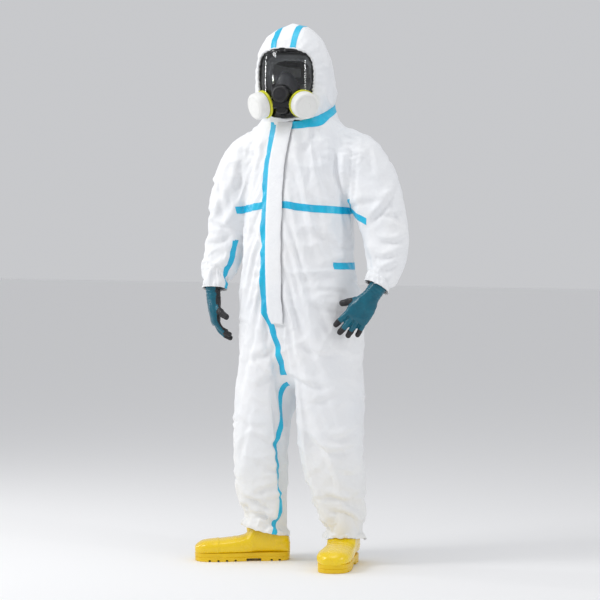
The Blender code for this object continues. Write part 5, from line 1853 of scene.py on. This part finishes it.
def fabric_material():
    """White film laminate: crumpled, faintly embossed, a little warmer below the knees."""
    n = Nodes("fabric_laminate")
    n.set(roughness=0.5, sheen_weight=0.12, specular_ior_level=0.4)
    broad = n.noise(3.2, 4.0, 0.6, 0.6)
    tint = n.ramp(broad, [(0.30, (0.835, 0.855, 0.885)), (0.62, (0.90, 0.905, 0.915))])
    low = n.ramp(n.height(), [(0.10, 1.0), (0.55, 0.0)])
    tint = n.mix(low, tint, n.ramp(broad, [(0.30, (0.85, 0.85, 0.835)), (0.62, (0.91, 0.905, 0.885))]))
    n.colour(tint)
    crumple = n.noise(16, 5.0, 0.62, 1.1)
    creases = n.cells(24, "DISTANCE_TO_EDGE", (1.0, 1.0, 0.7))
    grain = n.cells(900)
    first = n.bump(crumple, 0.55, 5.0 * MM)
    second = n.bump(n.math("MINIMUM", creases, 0.10), 0.35, 4.0 * MM, first)
    n.normal(n.bump(grain, 0.22, 0.25 * MM, second))
    n.rough(n.ramp(n.noise(60, 3.0), [(0.3, 0.42), (0.7, 0.58)]))
    return n.material


def tape_material():
    """Heat-sealed seam tape: cyan, satin, with a fine diamond emboss."""
    n = Nodes("tape_film")
    n.set(specular_ior_level=0.5, coat_weight=0.15, coat_roughness=0.25)
    n.colour(n.ramp(n.noise(14, 4.0, 0.6, 0.4), [(0.25, (0.003, 0.42, 0.70)), (0.70, (0.008, 0.56, 0.82))]))
    emboss = n.cells(420, "F1")
    first = n.bump(n.noise(40, 4.0, 0.6), 0.35, 1.5 * MM)
    n.normal(n.bump(emboss, 0.30, 0.4 * MM, first))
    n.rough(n.ramp(n.noise(90, 3.0), [(0.3, 0.30), (0.7, 0.44)]))
    return n.material


def elastic_material():
    n = Nodes("elastic_knit")
    n.set(roughness=0.75, sheen_weight=0.3)
    n.colour(n.ramp(n.noise(35, 3.0), [(0.3, (0.78, 0.79, 0.81)), (0.7, (0.88, 0.88, 0.885))]))
    n.normal(n.bump(n.cells(700, "F1"), 0.5, 0.5 * MM, n.bump(n.noise(120, 3.0), 0.4, 1.0 * MM)))
    return n.material


def moulding(name, dark, light, rough, grain_scale, grain, coat=0.0, blotch=9):
    """A moulded plastic or rubber: slightly uneven colour and gloss, and a fine grain."""
    n = Nodes(name)
    n.set(coat_weight=coat, coat_roughness=0.08)
    n.colour(n.ramp(n.noise(blotch, 4.0, 0.6), [(0.3, dark), (0.7, light)]))
    n.rough(n.ramp(n.noise(blotch * 5, 4.0, 0.6), [(0.3, rough * 0.82), (0.7, rough * 1.2)]))
    wave = n.bump(n.noise(blotch * 2, 2.0), 0.12, 1.0 * MM)
    n.normal(n.bump(n.noise(grain_scale, 3.0, 0.6), grain, 0.4 * MM, wave))
    return n.material


def lens_material():
    n = Nodes("lens_polycarbonate")
    n.set(base_color=(0.93, 0.95, 0.96), transmission_weight=1.0, ior=1.36)
    n.rough(n.ramp(n.noise(30, 4.0, 0.6), [(0.35, 0.015), (0.75, 0.05)]))
    return n.material


def glove_material():
    """Nitrile, teal where dipped once and black and matter where dipped twice."""
    n = Nodes("glove_nitrile")
    dip = n.tree.nodes.new("ShaderNodeAttribute")
    dip.attribute_name = "dip"
    wobble = n.math("MULTIPLY", n.math("SUBTRACT", n.noise(90, 3.0), 0.5), 0.5)
    uneven = n.math("ADD", dip.outputs["Fac"], wobble)
    edge = n.ramp(uneven, [(0.46, 0.0), (0.56, 1.0)])
    teal = n.ramp(n.noise(28, 4.0, 0.6), [(0.25, (0.001, 0.085, 0.135)), (0.72, (0.004, 0.140, 0.205))])
    black = n.ramp(n.noise(60, 4.0), [(0.3, (0.012, 0.012, 0.014)), (0.7, (0.030, 0.028, 0.030))])
    n.colour(n.mix(edge, teal, black))
    n.rough(n.ramp(uneven, [(0.46, 0.27), (0.56, 0.62)]))
    n.set(specular_ior_level=0.4, coat_weight=0.08, coat_roughness=0.12)
    soft = n.bump(n.noise(55, 4.0, 0.6, 0.8), 0.5, 2.2 * MM)
    n.normal(n.bump(n.noise(700, 2.0), 0.18, 0.4 * MM, soft))
    return n.material


def seal_material():
    """Face seal: a black flange round the lens, then a grey skirt towards the face."""
    n = Nodes("rubber_seal")
    n.set(roughness=0.5, specular_ior_level=0.35)
    deep = n.tree.nodes.new("ShaderNodeAttribute")
    deep.attribute_name = "deep"
    grey = n.ramp(n.noise(20, 3.0), [(0.3, (0.23, 0.235, 0.245)), (0.7, (0.30, 0.305, 0.315))])
    n.colour(n.mix(deep.outputs["Fac"], (0.008, 0.008, 0.010), grey))
    n.normal(n.bump(n.noise(300, 3.0), 0.2, 0.4 * MM))
    return n.material


def make_materials():
    return {
        "fabric": fabric_material(),
        "tape": tape_material(),
        "elastic": elastic_material(),
        "zip": moulding("zip_nylon", (0.70, 0.72, 0.74), (0.80, 0.81, 0.82), 0.45, 500, 0.3),
        "black_rubber": moulding("rubber_black",
            (0.006, 0.006, 0.008), (0.014, 0.014, 0.017), 0.40, 420, 0.2
        ),
        "grey_rubber": moulding("rubber_grey", (0.030, 0.030, 0.036), (0.048, 0.048, 0.056), 0.42, 420, 0.2),
        "black_plastic": moulding("plastic_black",
            (0.004, 0.004, 0.005), (0.009, 0.009, 0.011), 0.20, 300, 0.08, 0.1
        ),
        "valve": moulding("silicone_clear", (0.62, 0.62, 0.60), (0.72, 0.72, 0.70), 0.35, 300, 0.2),
        "seal": seal_material(),
        "lens": lens_material(),
        "filter": moulding("plastic_offwhite", (0.80, 0.80, 0.775), (0.88, 0.88, 0.86), 0.38, 350, 0.15),
        "filter_ring": moulding("plastic_yellow", (0.66, 0.66, 0.012), (0.78, 0.77, 0.03), 0.32, 350, 0.15),
        "glove": glove_material(),
        "boot": moulding("pvc_yellow", (0.88, 0.59, 0.002), (0.94, 0.68, 0.004), 0.26, 260, 0.16, 0.25),
        "sole": moulding("pvc_yellow_sole", (0.80, 0.51, 0.002), (0.88, 0.60, 0.004), 0.38, 260, 0.28),
    }


def paint_frame_nodes(m):
    """Finishes for the CAD nodes that are shown as they are."""
    for name, key in (
        ("zip_tape_right", "zip"),
        ("zip_tape_left", "zip"),
        ("zip_slider", "zip"),
        ("zip_pull", "zip"),
        ("exhale_valve_disc", "valve"),
        ("head_harness", "black_rubber"),
    ):
        mesh = frame["nodes"][name].data
        mesh.materials.clear()
        mesh.materials.append(m[key])


# --- the studio ---
AXIS = Vector((-0.0281, 0.0371, 0.0))  # the wearer's axis in the CAD model's frame
CAMERA_AZIMUTH = math.radians(35.03)
CAMERA_DISTANCE, CAMERA_HEIGHT = 7.8, 1.17
LENS, SHIFT_X, CAMERA_TILT = 135.0, -0.0017, math.atan2(0.261, 7.8)


def make_camera():
    camera = bpy.data.objects.new("camera", bpy.data.cameras.new("camera"))
    SCENE.collection.objects.link(camera)
    camera.data.lens, camera.data.sensor_width = LENS, 36.0
    camera.data.shift_x = SHIFT_X
    out = Vector((math.sin(CAMERA_AZIMUTH), -math.cos(CAMERA_AZIMUTH), 0))
    camera.location = AXIS + out * CAMERA_DISTANCE + Z * CAMERA_HEIGHT
    camera.rotation_euler = (math.pi / 2 - CAMERA_TILT, 0, CAMERA_AZIMUTH)
    SCENE.camera = camera


def area_light(
    name, azimuth, elevation, distance, size, power, colour=(1, 1, 1), tall=None, shape="RECTANGLE"
):
    """A soft box that faces the middle of the suit from an azimuth and elevation in degrees."""
    a, e = math.radians(azimuth), math.radians(elevation)
    data = bpy.data.lights.new(name, "AREA")
    data.shape = shape
    data.size, data.size_y = size, tall or size
    data.energy, data.color = power, colour
    light = bpy.data.objects.new(name, data)
    SCENE.collection.objects.link(light)
    target = Z * 1.0
    way = Vector((math.sin(a) * math.cos(e), -math.cos(a) * math.cos(e), math.sin(e)))
    light.location = target + way * distance
    light.rotation_euler = (-way).to_track_quat("-Z", "Y").to_euler()


def make_studio():
    SCENE.view_settings.view_transform = "Standard"
    bm = bmesh.new()
    bmesh.ops.create_grid(bm, x_segments=1, y_segments=1, size=30)
    floor = new_object("studio_floor", bm)
    n = Nodes("studio_floor_paint")
    n.set(base_color=(0.93, 0.93, 0.93), roughness=0.7)
    floor.data.materials.append(n.material)
    world = SCENE.world or bpy.data.worlds.new("studio")
    SCENE.world = world
    world.use_nodes = True
    background = world.node_tree.nodes["Background"]
    background.inputs["Color"].default_value = (0.96, 0.97, 1.0, 1.0)
    background.inputs["Strength"].default_value = 0.60
    area_light("key", -38, 38, 3.6, 1.1, 40)
    area_light("fill", 100, 20, 4.0, 2.2, 6, (0.95, 0.97, 1.0))
    area_light("top", 40, 80, 3.2, 1.6, 20)
    area_light("strip_left", -80, 12, 3.4, 0.12, 13, tall=1.7)
    area_light("strip_right", 86, 12, 3.4, 0.12, 12, tall=1.7)
    area_light("beauty", -40, 14, 3.4, 0.22, 9, tall=0.42, shape="ELLIPSE")


def main():
    m = make_materials()
    make_camera()
    make_studio()
    solids = {}
    for name in SIDES:
        solids[f"glove_{name}"] = make_glove(name, m)
        solids[f"boot_{name}"] = make_boot(name, m)
    master = make_coverall(m, solids)
    make_tapes(master, m)
    make_armhole_tapes(master, m)
    make_flap(master, m)
    make_hood(master, m)
    master.free()
    make_visor_frame(m)
    make_visor_lens(m)
    make_housing(m)
    make_valve_cover(m)
    make_seal(m)
    make_nose_cup(m)
    make_filters(m)
    for name, (shell, _) in solids.items():
        part, side = name.split("_")
        riding(shell, f"{'forearm' if part == 'glove' else 'shin'}_{side}", [name], part)
    paint_frame_nodes(m)


main()
